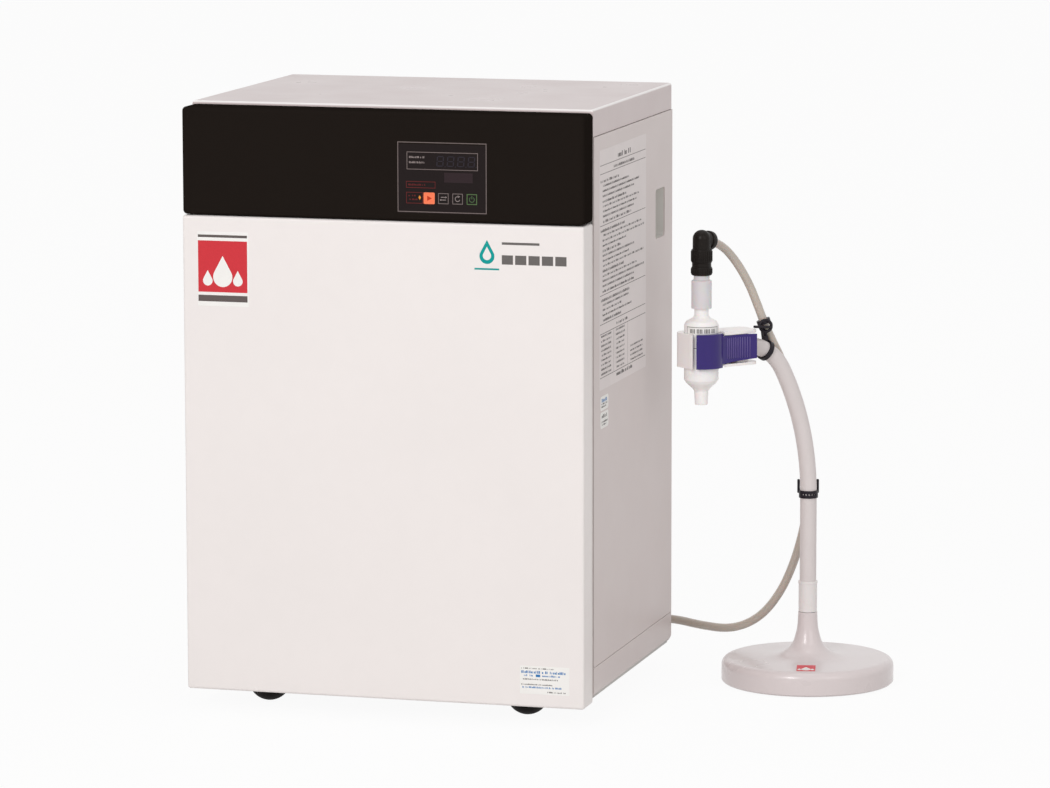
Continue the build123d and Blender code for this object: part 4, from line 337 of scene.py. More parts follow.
NODE_LOOK = {
    "door_paint": ["door_shell"],
    "casing_paint": ["side_panel_left", "side_panel_right", "base_tray", "rear_panel"],
    "cover_paint": ["top_cover"],
    "inner_steel": ["front_frame"],
    "shelf_steel": ["divider_shelf"],
    "panel_black": ["control_panel_shell"],
    "overlay": ["panel_overlay"],
    "display": ["display_module"],
    "board": ["control_board"],
    "steel": ["hinge_brackets", "striker_plate", "rear_screws", "gooseneck_core", "clamp_pin"],
    "spring_steel": ["valve_spring", "clamp_spring", "valve_plunger"],
    "brass": ["feed_inlet", "solenoid_valve_body"],
    "rubber": ["feet", "stand_pad"],
    "liner": ["door_liner"],
    "cart_white": ["pretreatment_cartridge"],
    "cart_blue": ["deionizer_cartridge"],
    "head_grey": ["pretreatment_head", "deionizer_head"],
    "coil": ["solenoid_coil", "door_catch"],
    "fitting": ["pressure_regulator", "resistivity_cell", "product_outlet"],
    "knob_blue": ["regulator_knob"],
    "tube_blue": ["internal_tubes"],
    "supply": ["power_supply"],
    "socket": ["mains_inlet", "breaker_body", "breaker_rocker"],
    "wire": ["wire_loom"],
    "stand": ["stand_base"],
    "collar": ["arm_collar"],
    "sleeve": ["gooseneck_sleeve"],
    "clamp_white": ["clamp_body"],
    "clamp_purple": ["clamp_lever"],
    "filter": ["filter_capsule"],
    "adapter": ["filter_adapter"],
    "membrane": ["filter_membrane"],
    "elbow": ["elbow_body", "elbow_nuts"],
    "strap": ["lower_strap", "upper_strap"],
    "key_black": ["unit_key", "clear_key", "power_key"],
    "key_orange": ["start_key"],
    "grip_cup": ["grip_cups"],
}

def dress(obj, mat):
    """Gives an object one material on every face."""
    obj.data.materials.clear()
    obj.data.materials.append(mat)


for look, node_names in NODE_LOOK.items():
    for node_name in node_names:
        dress(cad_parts[node_name], M[look])


# Hose: one tube along a smooth line from the outlet behind the cabinet to the elbow

HOSE_R = 0.004
HOSE_POINTS = [
    (50.0, 164.5, 41.0),
    (74.0, 164.5, 41.0),
    (102.0, 158.5, 37.0),
    (135.0, 150.5, 36.0),
    (164.0, 140.5, 50.0),
    (186.0, 130.5, 76.0),
    (201.0, 121.5, 106.0),
    (211.5, 114.0, 137.0),
    (217.3, 109.5, 164.0),
    (217.3, 109.5, 182.0),
    (217.3, 109.5, 197.0),
    (215.4, 107.8, 216.0),
    (209.6, 101.8, 251.8),
    (203.0, 93.7, 284.7),
    (197.0, 83.7, 309.8),
    (190.8, 72.9, 327.8),
    (185.3, 66.0, 343.5),
    (179.5, 64.0, 360.0),
    (171.5, 59.5, 382.8),
    (160.0, 49.5, 406.2),
    (150.3, 34.5, 421.0),
    (144.2, 20.3, 425.5),
]


def hose_curve(name, radius):
    """The mesh of a curve through the hose's points: a bare line when radius is 0."""
    curve = bpy.data.curves.new(name, "CURVE")
    curve.dimensions = "3D"
    spline = curve.splines.new("NURBS")
    spline.points.add(len(HOSE_POINTS) - 1)
    for point, (x, y, z) in zip(spline.points, HOSE_POINTS):
        point.co = (x / 1000, y / 1000, z / 1000, 1)
    spline.order_u = 3
    spline.use_endpoint_u = True
    spline.resolution_u = 10
    curve.bevel_depth = radius
    curve.bevel_resolution = 5
    curve.use_fill_caps = radius > 0
    obj = bpy.data.objects.new(name, curve)
    bpy.context.collection.objects.link(obj)
    bpy.context.view_layer.update()
    mesh = bpy.data.meshes.new_from_object(obj)
    bpy.data.objects.remove(obj)
    return mesh


def hose_material():
    """Milky flexible tube: a warm core seen through a slightly frosted wall."""
    s = Surface("hose_milky", (196, 185, 174), 0.3)
    s.mottle(scale=40, amount=0.5, dark=0.95, detail=2.0)
    s.gloss(scale=200, spread=0.04).relief(scale=600, strength=0.03, depth=0.0001)
    s.set(Subsurface_Weight=0.1, Subsurface_Scale=0.002, Coat_Weight=0.25, Coat_Roughness=0.15)
    return s.done()


path_mesh = hose_curve("hose_line", 0.0)
hose_mesh = hose_curve("hose_tube", HOSE_R)
for polygon in hose_mesh.polygons:
    polygon.use_smooth = True
hose = bpy.data.objects.new("hose", hose_mesh)
bpy.context.collection.objects.link(hose)
M["hose"] = hose_material()
dress(hose, M["hose"])
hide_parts("hose_lower", "hose_upper")
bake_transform(hose)


# Printed sheets and marks

def front_plane(u, v, lift):
    """u across and v up on the cabinet's front, lift millimetres proud of it."""
    return at(u, -lift, v)


def side_plane(u, v, lift):
    """u towards the back and v up on the cabinet's right side."""
    return at(CABINET_W + lift, u, v)


class Print:
    """Flat shapes in a few inks, gathered in one mesh on a plane. All sizes are in millimetres."""

    def __init__(self, name, plane, base=0.0):
        self.name = name
        self.plane = plane
        self.base = base
        self.verts = []
        self.faces = []
        self.inks = []
        self.face_inks = []

    def poly(self, points, ink, lift=0.03):
        start = len(self.verts)
        self.verts += [self.plane(u, v, self.base + lift) for u, v in points]
        self.faces.append(tuple(range(start, start + len(points))))
        if ink not in self.inks:
            self.inks.append(ink)
        self.face_inks.append(self.inks.index(ink))

    def rect(self, u0, u1, v0, v1, ink, lift=0.03):
        self.poly([(u0, v0), (u1, v0), (u1, v1), (u0, v1)], ink, lift)

    def frame(self, u0, u1, v0, v1, width, ink, lift=0.03):
        """A ruled rectangle of four strips inside its outer size."""
        self.rect(u0, u1, v0, v0 + width, ink, lift)
        self.rect(u0, u1, v1 - width, v1, ink, lift)
        self.rect(u0, u0 + width, v0 + width, v1 - width, ink, lift)
        self.rect(u1 - width, u1, v0 + width, v1 - width, ink, lift)

    def words(self, u0, u1, v, height, ink, seed=0, lift=0.03):
        """A line of print that can't be read: short strokes in word-like groups."""
        u = u0
        step = height * 0.62
        n = seed
        while u + step * 0.7 < u1:
            n = (n * 37 + 11) % 101
            is_stroke = n % 6 != 0
            if is_stroke:
                tall = height * (0.72 + 0.28 * ((n // 7) % 2))
                wide = step * (0.45 + 0.3 * ((n // 3) % 2))
                self.rect(u, u + wide, v, v + tall, ink, lift)
            u += step
        return self

    def disc(self, u, v, r, ink, lift=0.03, sides=20):
        angles = [i * math.tau / sides for i in range(sides)]
        self.poly([(u + r * math.cos(a), v + r * math.sin(a)) for a in angles], ink, lift)

    def arc(self, u, v, r, width, start, end, ink, lift=0.03, steps=24):
        """A curved stroke, angles in degrees from the right, anticlockwise."""
        for i in range(steps):
            a = math.radians(start + (end - start) * i / steps)
            b = math.radians(start + (end - start) * (i + 1) / steps)
            inner, outer = r - width / 2, r + width / 2
            self.poly([
                (u + inner * math.cos(a), v + inner * math.sin(a)),
                (u + outer * math.cos(a), v + outer * math.sin(a)),
                (u + outer * math.cos(b), v + outer * math.sin(b)),
                (u + inner * math.cos(b), v + inner * math.sin(b)),
            ], ink, lift)

    def drop(self, u, v, r, ink, lift=0.03):
        """A plain water drop with its round end down."""
        ring = [(u, v + 2.1 * r)]
        steps, first, sweep = 24, 28, 236
        for i in range(steps + 1):
            a = math.radians(first - i * sweep / steps)
            ring.append((u + r * math.cos(a), v + r * math.sin(a)))
        self.poly(ring, ink, lift)

    def build(self, body):
        mesh = bpy.data.meshes.new(self.name)
        mesh.from_pydata([tuple(v) for v in self.verts], [], self.faces)
        for ink in self.inks:
            mesh.materials.append(M[ink])
        for polygon, ink in zip(mesh.polygons, self.face_inks):
            polygon.material_index = ink
        obj = bpy.data.objects.new(self.name, mesh)
        bpy.context.collection.objects.link(obj)
        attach(obj, body)
        return obj


def sheet_of(name, plane, u0, u1, v0, v1, mat, body, thick=0.15, round_r=1.5, base=0.0):
    """A thin sticker with round corners and a softened edge, lying on a plane."""
    bm = bmesh.new()
    ring = []
    corner_steps = 5
    for cu, cv, start in ((u1, v0, -90), (u1, v1, 0), (u0, v1, 90), (u0, v0, 180)):
        centre_u = cu - round_r if cu == u1 else cu + round_r
        centre_v = cv - round_r if cv == v1 else cv + round_r
        for i in range(corner_steps + 1):
            a = math.radians(start + i * 90 / corner_steps)
            ring.append((centre_u + round_r * math.cos(a), centre_v + round_r * math.sin(a)))
    mid_u, mid_v = (u0 + u1) / 2, (v0 + v1) / 2

    def loop(lift, inset):
        verts = []
        for u, v in ring:
            du = -inset if u > mid_u else inset
            dv = -inset if v > mid_v else inset
            verts.append(bm.verts.new(plane(u + du, v + dv, base + lift)))
        return verts

    low, side, top = loop(0.0, 0.0), loop(thick * 0.7, 0.0), loop(thick, thick * 0.5)
    for a, b in ((low, side), (side, top)):
        for i in range(len(ring)):
            j = (i + 1) % len(ring)
            bm.faces.new((a[i], a[j], b[j], b[i]))
    bm.faces.new(top)
    bm.faces.new(list(reversed(low)))
    mesh = bpy.data.meshes.new(name)
    bmesh.ops.recalc_face_normals(bm, faces=bm.faces)
    bm.to_mesh(mesh)
    bm.free()
    mesh.materials.append(mat)
    obj = bpy.data.objects.new(name, mesh)
    bpy.context.collection.objects.link(obj)
    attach(obj, body)
    return obj


for ink_name, rgb in (
    ("ink_grey_light", (124, 112, 110)),
    ("ink_white", (150, 138, 136)),
    ("ink_segment", (50, 46, 54)),
    ("ink_window", (52, 41, 44)),
    ("ink_red_dim", (108, 42, 42)),
    ("ink_red", (214, 62, 70)),
    ("ink_orange", (240, 150, 60)),
    ("ink_dark_orange", (196, 60, 36)),
    ("ink_green", (86, 110, 72)),
    ("ink_green_bright", (84, 112, 76)),
    ("ink_teal", (22, 160, 156)),
    ("ink_grey", (112, 108, 106)),
    ("ink_black", (52, 46, 45)),
    ("ink_blue", (64, 130, 190)),
    ("ink_rule", (104, 96, 94)),
):
    M[ink_name] = flat_ink(ink_name, rgb)
M["sticker_white"] = moulded(
    "sticker_white", (246, 244, 241), 0.5, grain=1800, strength=0.05, edge=(226, 223, 220), spread=0.03
)
M["sticker_side"] = moulded(
    "sticker_side", (227, 218, 217), 0.42, grain=1800, strength=0.05, edge=(205, 199, 196), spread=0.03
)
M["sticker_red"] = moulded(
    "sticker_red", (222, 60, 74), 0.4, grain=1800, strength=0.05, edge=(232, 110, 118), spread=0.03
)

SEGMENTS = {
    "top": ((0.12, 0.94), (0.88, 0.94), (0.78, 0.86), (0.22, 0.86)),
    "bottom": ((0.12, 0.06), (0.88, 0.06), (0.78, 0.14), (0.22, 0.14)),
    "middle": ((0.2, 0.46), (0.8, 0.46), (0.8, 0.54), (0.2, 0.54)),
    "upper_left": ((0.04, 0.9), (0.18, 0.84), (0.18, 0.58), (0.04, 0.52)),
    "upper_right": ((0.96, 0.9), (0.82, 0.84), (0.82, 0.58), (0.96, 0.52)),
    "lower_left": ((0.04, 0.1), (0.18, 0.16), (0.18, 0.42), (0.04, 0.48)),
    "lower_right": ((0.96, 0.1), (0.82, 0.16), (0.82, 0.42), (0.96, 0.48)),
}


# Places on the control panel, as left, right, bottom and top
PANEL_FRAME = (205.9, 289.0, 467.2, 530.4)
DISPLAY_FRAME = (214.5, 281.0, 505.6, 521.6)
SIGNAL_WINDOW = (249.6, 276.1, 494.6, 503.4)
NOTICE_FRAME = (213.9, 241.3, 489.0, 495.0)
START_FRAME = (214.0, 229.4, 475.0, 485.2)
THIN_RULE = 0.5

# The four digits, with how far the next one is and how much each one leans
DIGIT_U, DIGIT_V = 241.8, 508.2
DIGIT_W, DIGIT_H = 7.2, 10.6
DIGIT_PITCH, DIGIT_LEAN = 9.7, 0.9
POINT_U, POINT_V, POINT_R = 8.6, 0.6, 0.55


def panel_print():
    """The print on the overlay: frames, dark digits and unreadable lines beside them."""
    p = Print("panel_print", front_plane)
    p.frame(*PANEL_FRAME, 0.7, "ink_grey_light")
    p.frame(*DISPLAY_FRAME, 0.6, "ink_grey_light")
    for v, seed in ((515.9, 5), (511.2, 9)):
        p.words(216.8, 232.0, v, 1.7, "ink_white", seed)
    for i in range(4):
        u0 = DIGIT_U + i * DIGIT_PITCH
        for shape in SEGMENTS.values():
            corners = [(u0 + a * DIGIT_W + b * DIGIT_LEAN, DIGIT_V + b * DIGIT_H) for a, b in shape]
            p.poly(corners, "ink_segment")
        p.disc(u0 + POINT_U, DIGIT_V + POINT_V, POINT_R, "ink_segment", sides=10)
    p.rect(*SIGNAL_WINDOW, "ink_window")
    p.frame(*NOTICE_FRAME, THIN_RULE, "ink_red_dim")
    p.words(216.0, 232.0, 491.2, 1.5, "ink_red_dim", 3)
    p.frame(*START_FRAME, THIN_RULE, "ink_red_dim")
    p.words(216.0, 223.5, 481.4, 1.4, "ink_red_dim", 8)
    p.words(216.0, 224.5, 478.0, 1.4, "ink_red_dim", 14)
    p.poly([(226.6, 478.3), (227.8, 480.4), (226.6, 482.5), (225.4, 480.4)], "ink_orange")
    p.build("cabinet")


KEY_U, KEY_V = 235.4, 480.0
KEY_PITCH = 13.3
KEY_FRAME = 4.85


def key_prints():
    """A plain sign on each key: a triangle, two arrows, a turning arrow and a broken ring with a bar."""
    centres = [KEY_U + i * KEY_PITCH for i in range(4)]
    v = KEY_V

    def frame_key(p, u, width, ink):
        p.frame(u - KEY_FRAME, u + KEY_FRAME, v - KEY_FRAME, v + KEY_FRAME, width, ink)

    u = centres[0]
    start = Print("start_key_print", front_plane)
    start.poly([(u - 1.8, v - 2.3), (u + 2.6, v), (u - 1.8, v + 2.3)], "ink_dark_orange")
    start.build("start_key")

    u = centres[1]
    unit = Print("unit_key_print", front_plane)
    frame_key(unit, u, 0.6, "ink_grey_light")
    for side in (-1, 1):
        line = v + side * 1.2
        unit.rect(u - 2.4, u + 2.4, line - 0.3, line + 0.3, "ink_white")
        tip, back = u + side * 3.4, u + side * 2.0
        unit.poly([(tip, line), (back, line + 1.0), (back, line - 1.0)], "ink_white")
    unit.build("unit_key")

    u = centres[2]
    clear = Print("clear_key_print", front_plane)
    frame_key(clear, u, 0.6, "ink_grey_light")
    clear.arc(u, v, 2.2, 0.6, 60, 340, "ink_white")
    clear.poly([(u + 0.2, v + 3.3), (u + 0.3, v + 0.9), (u + 2.4, v + 2.2)], "ink_white")
    clear.build("clear_key")

    u = centres[3]
    power = Print("power_key_print", front_plane)
    frame_key(power, u, 0.8, "ink_green")
    power.arc(u, v - 0.2, 2.3, 0.6, 125, 415, "ink_green_bright")
    power.rect(u - 0.3, u + 0.3, v + 0.2, v + 3.1, "ink_green_bright")
    power.build("power_key")


# Stickers on the door, as left, right, bottom and top
TILE_SHEET = (15.2, 64.2, 375.8, 443.8)
SERVICE_SHEET = (319.0, 365.5, 32.4, 58.2)
TILE_LEFT, TILE_RIGHT, TILE_MIDDLE = 15.9, 62.9, 39.4
MARK_BLOCK_U, MARK_BLOCK_W, MARK_BLOCK_PITCH = 303.0, 10.4, 12.4


def door_prints():
    """A tile with three drops, a drop with five blocks, and a small service sheet."""
    sheet_of("door_tile_sheet", front_plane, *TILE_SHEET, M["sticker_white"], "door", 0.12, 1.0)
    tile = Print("door_tile_print", front_plane, 0.12)
    tile.rect(TILE_LEFT, TILE_RIGHT, 388.6, 435.6, "ink_red")
    tile.drop(TILE_MIDDLE, 402.6, 9.2, "sticker_white", 0.05)
    for side in (-1, 1):
        tile.drop(TILE_MIDDLE + side * 14.4, 399.0, 4.6, "sticker_white", 0.05)
    tile.rect(TILE_LEFT, TILE_RIGHT, 438.6, 441.0, "ink_rule")
    tile.rect(TILE_LEFT, TILE_RIGHT, 380.0, 385.8, "ink_rule")
    tile.build("door")

    mark = Print("door_mark_print", front_plane)
    mark.drop(289.2, 429.4, 7.0, "ink_teal")
    mark.drop(289.2, 429.8, 3.9, "door_paint", 0.05)
    mark.rect(MARK_BLOCK_U, 338.0, 440.2, 442.4, "ink_grey")
    for i in range(5):
        u = MARK_BLOCK_U + i * MARK_BLOCK_PITCH
        mark.rect(u, u + MARK_BLOCK_W, 422.4, 430.8, "ink_grey")
    mark.rect(277.5, 300.5, 417.0, 418.6, "ink_teal")
    mark.build("door")

    sheet_of("service_sheet", front_plane, *SERVICE_SHEET, M["sticker_white"], "door", 0.1, 0.8)
    service = Print("service_print", front_plane, 0.1)
    service.words(320.5, 351.0, 55.4, 1.1, "ink_black", 4)
    service.words(320.5, 362.0, 51.4, 2.4, "ink_blue", 21)
    service.rect(334.0, 338.2, 48.2, 50.6, "ink_blue", 0.05)
    service.words(323.0, 333.0, 48.6, 1.7, "ink_blue", 33)
    service.words(340.0, 358.0, 48.6, 1.7, "ink_blue", 17)
    service.words(322.0, 355.0, 45.4, 1.2, "ink_black", 9)
    service.words(320.5, 350.0, 40.6, 1.1, "ink_black", 12)
    service.words(320.5, 358.0, 37.8, 1.6, "ink_blue", 27)
    service.words(345.0, 364.0, 34.0, 1.2, "ink_black", 30)
    service.build("door")


# The long sheet on the side: its size, the ends of its rules and its line spacing
SIDE_SHEET = (49.5, 217.5, 303.5, 521.5)
RULE_FROM, RULE_TO = 52, 215
SIDE_LINE, SIDE_ROW = 4.6, 4.3
SIDE_BLOCKS = (9, 13, 5)
SIDE_TABLE_ROWS = 9
COLUMN_RULES = (100, 150)


def side_prints():
    """Blocks of unreadable lines over a small table, and two tags below the sheet."""
    sheet_of("side_sheet", side_plane, *SIDE_SHEET, M["sticker_side"], "cabinet", 0.12, 2.0)
    p = Print("side_print", side_plane, 0.12)
    p.rect(RULE_FROM, RULE_TO, 507.0, 507.5, "ink_rule")
    p.words(115, 160, 509.6, 4.6, "ink_black", 6)
    p.words(100, 175, 501.5, 2.4, "ink_black", 19)
    p.rect(RULE_FROM, RULE_TO, 499.3, 499.8, "ink_rule")
    v = 494.0
    n = 7
    for rows in SIDE_BLOCKS:
        for row in range(rows):
            n = (n * 31 + 17) % 97
            indent = 0 if row == 0 else 7
            height = 2.4 if row % 4 == 0 else 1.9
            end = 120 + (n % 10) * 9.2
            p.words(54 + indent, min(213, end + indent), v - height, height, "ink_black", n)
            v -= SIDE_LINE
        p.rect(RULE_FROM, RULE_TO, v - 0.2, v + 0.3, "ink_rule")
        v -= 3.4
    p.words(110, 150, v - 2.6, 2.4, "ink_black", 40)
    v -= 6.0
    table_top = v
    for row in range(SIDE_TABLE_ROWS):
        p.words(56, 92, v - 2.4, 1.9, "ink_black", row * 5 + 3)
        p.words(108, 140, v - 2.4, 1.9, "ink_black", row * 7 + 2)
        if row > 4:
            p.words(160, 206, v - 2.4, 1.7, "ink_black", row * 3 + 4)
        v -= SIDE_ROW
    p.rect(RULE_FROM, RULE_TO, table_top + 0.6, table_top + 1.1, "ink_rule")
    for u in COLUMN_RULES:
        p.rect(u, u + THIN_RULE, v, table_top, "ink_rule")
    p.rect(RULE_FROM, RULE_TO, v - 0.6, v - 0.1, "ink_rule")
    p.words(110, 168, 309.5, 3.4, "ink_black", 22)
    p.build("cabinet")
    for v0, v1, ink, seed in ((284.5, 297.5, "ink_blue", 5), (268.0, 283.0, "ink_black", 15)):
        name = "side_tag_%d" % seed
        sheet_of(name, side_plane, 53.5, 81.5, v0, v1, M["sticker_white"], "cabinet", 0.1, 3.0)
        tag = Print(name + "_print", side_plane, 0.1)
        tag.words(58, 77, v1 - 5.5, 3.2, ink, seed)
        tag.words(57, 79, v0 + 5.2, 1.5, "ink_black", seed + 3)
        tag.words(57, 74, v0 + 2.6, 1.5, "ink_black", seed + 8)
        tag.build("cabinet")


STAND_TAG_R = 58.5
STAND_TAG_TURN = math.radians(-78.6)
STAND_TAG = (-8.8, 8.8, -12.0, 12.0)


def stand_tag():
    """The small tile on the slope of the stand's foot, towards the viewer."""
    def slope(u, v, lift):
        r = STAND_TAG_R - v
        angle = STAND_TAG_TURN + u / r
        z = CROWN_Z - (r - CROWN_R) * CROWN_FALL + lift
        return POLE + Vector((r * math.cos(angle), r * math.sin(angle), z)) / 1000

    sheet_of("stand_tag_sheet", slope, *STAND_TAG, M["sticker_red"], "cabinet", 0.12, 0.8, 0.02)
    p = Print("stand_tag_print", slope, 0.14)
    p.drop(0, -4.6, 4.4, "sticker_white")
    for side in (-1, 1):
        p.drop(side * 6.0, -6.0, 1.9, "sticker_white")
    p.build("cabinet")


CAPSULE_R = 16.0
LABEL_BOTTOM, LABEL_TOP = 328.0, 349.0
LABEL_HALF = 17


def filter_tag():
    """A wrap-round paper label on the capsule above the jaws."""
    facing = math.radians(-72)

    def round_shell(u, v, lift):
        r = CAPSULE_R + 0.02 + lift
        angle = facing + u / CAPSULE_R
        return FILTER + Vector((r * math.cos(angle), r * math.sin(angle), v)) / 1000

    label = Print("filter_label", round_shell, 0.02)
    steps = 24
    rule = 0.4
    for i in range(steps):
        u0 = -LABEL_HALF + 2 * LABEL_HALF * i / steps
        u1 = -LABEL_HALF + 2 * LABEL_HALF * (i + 1) / steps
        label.rect(u0, u1, LABEL_BOTTOM, LABEL_TOP, "sticker_white", 0.0)
        label.rect(u0, u1, 348.0, 348.0 + rule, "ink_black")
        label.rect(u0, u1, 328.6, 328.6 + rule, "ink_black")
        if 2 < i < 21 and i % 5 != 2:
            label.rect(u0 + 0.25, u1 - 0.45, 342.6, 346.6, "ink_black")
    for u in (-16.6, 16.2):
        label.rect(u, u + rule, 328.6, 348.4, "ink_black")
    label.build("arm")


panel_print()
key_prints()
door_prints()
side_prints()
stand_tag()
filter_tag()


# Small details on the clamp, the elbow, the straps, the cartridges, the valve and the tray

LEVER_LOW, LEVER_MID, LEVER_HIGH = 317.5, 327.0, 336.5
LEVER_RIBS, LEVER_RIB_A, LEVER_RIB_PITCH = 11, 18.5, 2.4
NUT_RIBS, NUT_RIB_R = 28, 9.65
EYELET_R, EYELET_WIRE, STRAP_HALF = 0.0053, 0.0015, 0.0021
LABEL_WIDTH, LABEL_STEPS = 92.0, 23
BEAD_STEPS, BEAD_STEP = 7, 45.0
BEAD_R, BEAD_IN, BEAD_Z = 0.0018, 2.4, 26.2
SHEET_T = 1.5


def tube(name, points, radius, mat, body, sides=10, closed=False, flat=1.0):
    """A rod with domed ends, or a closed ring, along points in metres."""
    count = len(points)
    bm = bmesh.new()
    rings = []
    for i, centre in enumerate(points):
        before = points[i - 1] if closed or i else points[0]
        after = points[(i + 1) % count] if closed or i < count - 1 else points[i]
        way = (after - before).normalized()
        across = way.cross(Vector((0, 0, 1)))
        if across.length < 0.1:
            across = way.cross(Vector((1, 0, 0)))
        across.normalize()
        other = way.cross(across)
        rings.append([
            bm.verts.new(centre + radius * (math.cos(a) * across + flat * math.sin(a) * other))
            for a in (math.tau * j / sides for j in range(sides))
        ])
    pairs = list(zip(rings, rings[1:]))
    if closed:
        pairs.append((rings[-1], rings[0]))
    for a, b in pairs:
        for j in range(sides):
            k = (j + 1) % sides
            bm.faces.new((a[j], a[k], b[k], b[j]))
    if not closed:
        for ring, inside, sign in ((rings[0], points[1], -1), (rings[-1], points[-2], 1)):
            end = points[0] if sign < 0 else points[-1]
            tip = bm.verts.new(end + (end - inside).normalized() * radius * 0.6)
            for j in range(sides):
                bm.faces.new((ring[j], ring[(j + 1) % sides], tip))
    bmesh.ops.recalc_face_normals(bm, faces=bm.faces)
    mesh = bpy.data.meshes.new(name)
    bm.to_mesh(mesh)
    bm.free()
    for polygon in mesh.polygons:
        polygon.use_smooth = True
    mesh.materials.append(mat)
    obj = bpy.data.objects.new(name, mesh)
    bpy.context.collection.objects.link(obj)
    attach(obj, body)
    return obj


def clamp_point(a, b, z):
    """A point of the clamp: a runs from the filter to the arm, b to the front right, millimetres."""
    x = a * math.cos(ARM_AZIMUTH) + b * math.sin(ARM_AZIMUTH)
    y = a * math.sin(ARM_AZIMUTH) - b * math.cos(ARM_AZIMUTH)
    return FILTER + Vector((x, y, z)) / 1000


def face_hit(node, start, towards):
    """Where a straight line meets a CAD node, both points in metres."""
    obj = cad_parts[node]
    back = obj.matrix_world.inverted()
    origin = back @ start
    found, place, _, _ = obj.ray_cast(origin, (back @ towards - origin).normalized())
    return obj.matrix_world @ place if found else None


def lever_ribs():
    """Fine upright finger ribs on the thumb lever, in a lighter purple that paints the grip's sheen."""
    for i in range(LEVER_RIBS):
        a = LEVER_RIB_A + i * LEVER_RIB_PITCH
        hit = face_hit("clamp_lever", clamp_point(a, 45, LEVER_MID), clamp_point(a, 0, LEVER_MID))
        if hit is None:
            continue
        points = [Vector((hit.x, hit.y, z / 1000)) for z in (LEVER_LOW, LEVER_MID, LEVER_HIGH)]
        tube("lever_rib_%d" % i, points, 0.00055, M["rib_purple_sheen"], "clamp_lever", 8)


def elbow_grips():
    """Rows of small upright ribs round the two grip nuts of the elbow."""
    for name, z0, z1 in (("lower", 396.8, 401.2), ("upper", 408.2, 417.4)):
        for i in range(NUT_RIBS):
            angle = math.tau * i / NUT_RIBS
            x, y = NUT_RIB_R * math.cos(angle), NUT_RIB_R * math.sin(angle)
            points = [FILTER + Vector((x, y, z)) / 1000 for z in (z0, z1)]
            tube("elbow_%s_rib_%d" % (name, i), points, 0.0004, M["elbow"], "arm", 6)


def eyelet():
    """The looped end of the upper strap: a ring in front of the hose and its short tail."""
    centre = Vector((0.1876, 0.0605, 0.3425))
    facing = Vector((0.25, -0.95, 0.15)).normalized()
    across = facing.cross(Vector((0, 0, 1))).normalized()
    up = across.cross(facing)
    ring = []
    for i in range(28):
        angle = math.tau * i / 28
        ring.append(centre + EYELET_R * (math.cos(angle) * across + math.sin(angle) * up))
    tube("strap_eyelet", ring, EYELET_WIRE, M["strap"], "arm", closed=True)
    start = centre - across * 0.0052 - up * 0.001
    end = clamp_point(58.0, 2.0, 342.9)
    tube("strap_tail", [start, (start + end) / 2, end], STRAP_HALF, M["strap"], "arm", flat=0.6)
    foot = Vector((0.1862, 0.0625, 0.3335))
    tube("strap_neck", [centre - up * 0.005, foot], STRAP_HALF, M["strap"], "arm")


def cartridge_label(node, ink, base, low, high):
    """A plain paper band with ruled fields on the front of a cartridge."""
    corners = [Vector(c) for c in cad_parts[node].bound_box]
    middle = sum(corners, Vector()) / len(corners)
    front = face_hit(node, middle - Vector((0, 0.2, 0)), middle)
    if front is None:
        return
    radius = (middle.y - front.y) * 1000 + 0.05
    axis = Vector((middle.x, middle.y, 0))

    def wrap(u, v, lift):
        angle = -math.pi / 2 + u / radius
        r = radius + lift
        return axis + Vector((r * math.cos(angle), r * math.sin(angle), v)) / 1000

    band = Print(node + "_label", wrap)
    step = LABEL_WIDTH / LABEL_STEPS
    for i in range(LABEL_STEPS):
        u = -LABEL_WIDTH / 2 + i * step
        band.rect(u, u + step, low, high, base, 0.05)
        for v in (low + 3, low + 14, high - 18, high - 4):
            band.rect(u, u + step, v, v + 0.8, ink, 0.12)
        band.rect(u, u + step, high - 15, high - 7, ink, 0.12)
    band.build(node)


def valve_spring_coil():
    """The valve's spring: a copy of its CAD mesh in spring steel, shown in place of the hidden node."""
    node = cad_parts["valve_spring"]
    coil = bpy.data.objects.new("valve_spring_coil", node.data.copy())
    bpy.context.collection.objects.link(coil)
    dress(coil, M["spring_steel"])
    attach(coil, "cabinet")
    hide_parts("valve_spring")
    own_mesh(coil)


def seam_flanges():
    """Folded strips and sealant beads that close the seams of the tray from inside."""
    steel = M["inner_steel"]
    for name, x in (("left", BEAD_IN), ("right", CABINET_W - BEAD_IN)):
        path = [at(x, 34.0 + i * BEAD_STEP, BEAD_Z) for i in range(BEAD_STEPS)]
        tube("tray_bead_" + name, path, BEAD_R, steel, "cabinet")
    for name, x, way in (("left", SHEET_T, 1), ("right", CABINET_W - SHEET_T, -1)):
        def inner(u, v, lift, x=x, way=way):
            return at(x + way * lift, u, v)

        sheet_of("seam_flange_" + name, inner, 40, 300, 44, 62, steel, "cabinet", 0.6, 2.0, 0.05)


lever_ribs()
elbow_grips()
eyelet()
cartridge_label("pretreatment_cartridge", "ink_blue", "sticker_white", 250.0, 330.0)
cartridge_label("deionizer_cartridge", "ink_grey", "sticker_white", 230.0, 330.0)
valve_spring_coil()
seam_flanges()


# Camera, light and floor

# Fitted to the corners of the cabinet and the ellipse of the stand's foot: metres and radians
CAMERA_PLACE = (1.29506, -4.69225, 0.99661)
CAMERA_AZIMUTH, CAMERA_DIP, CAMERA_ROLL = -0.27483, 0.14618, 0.00176
CAMERA_LENS = 181.324

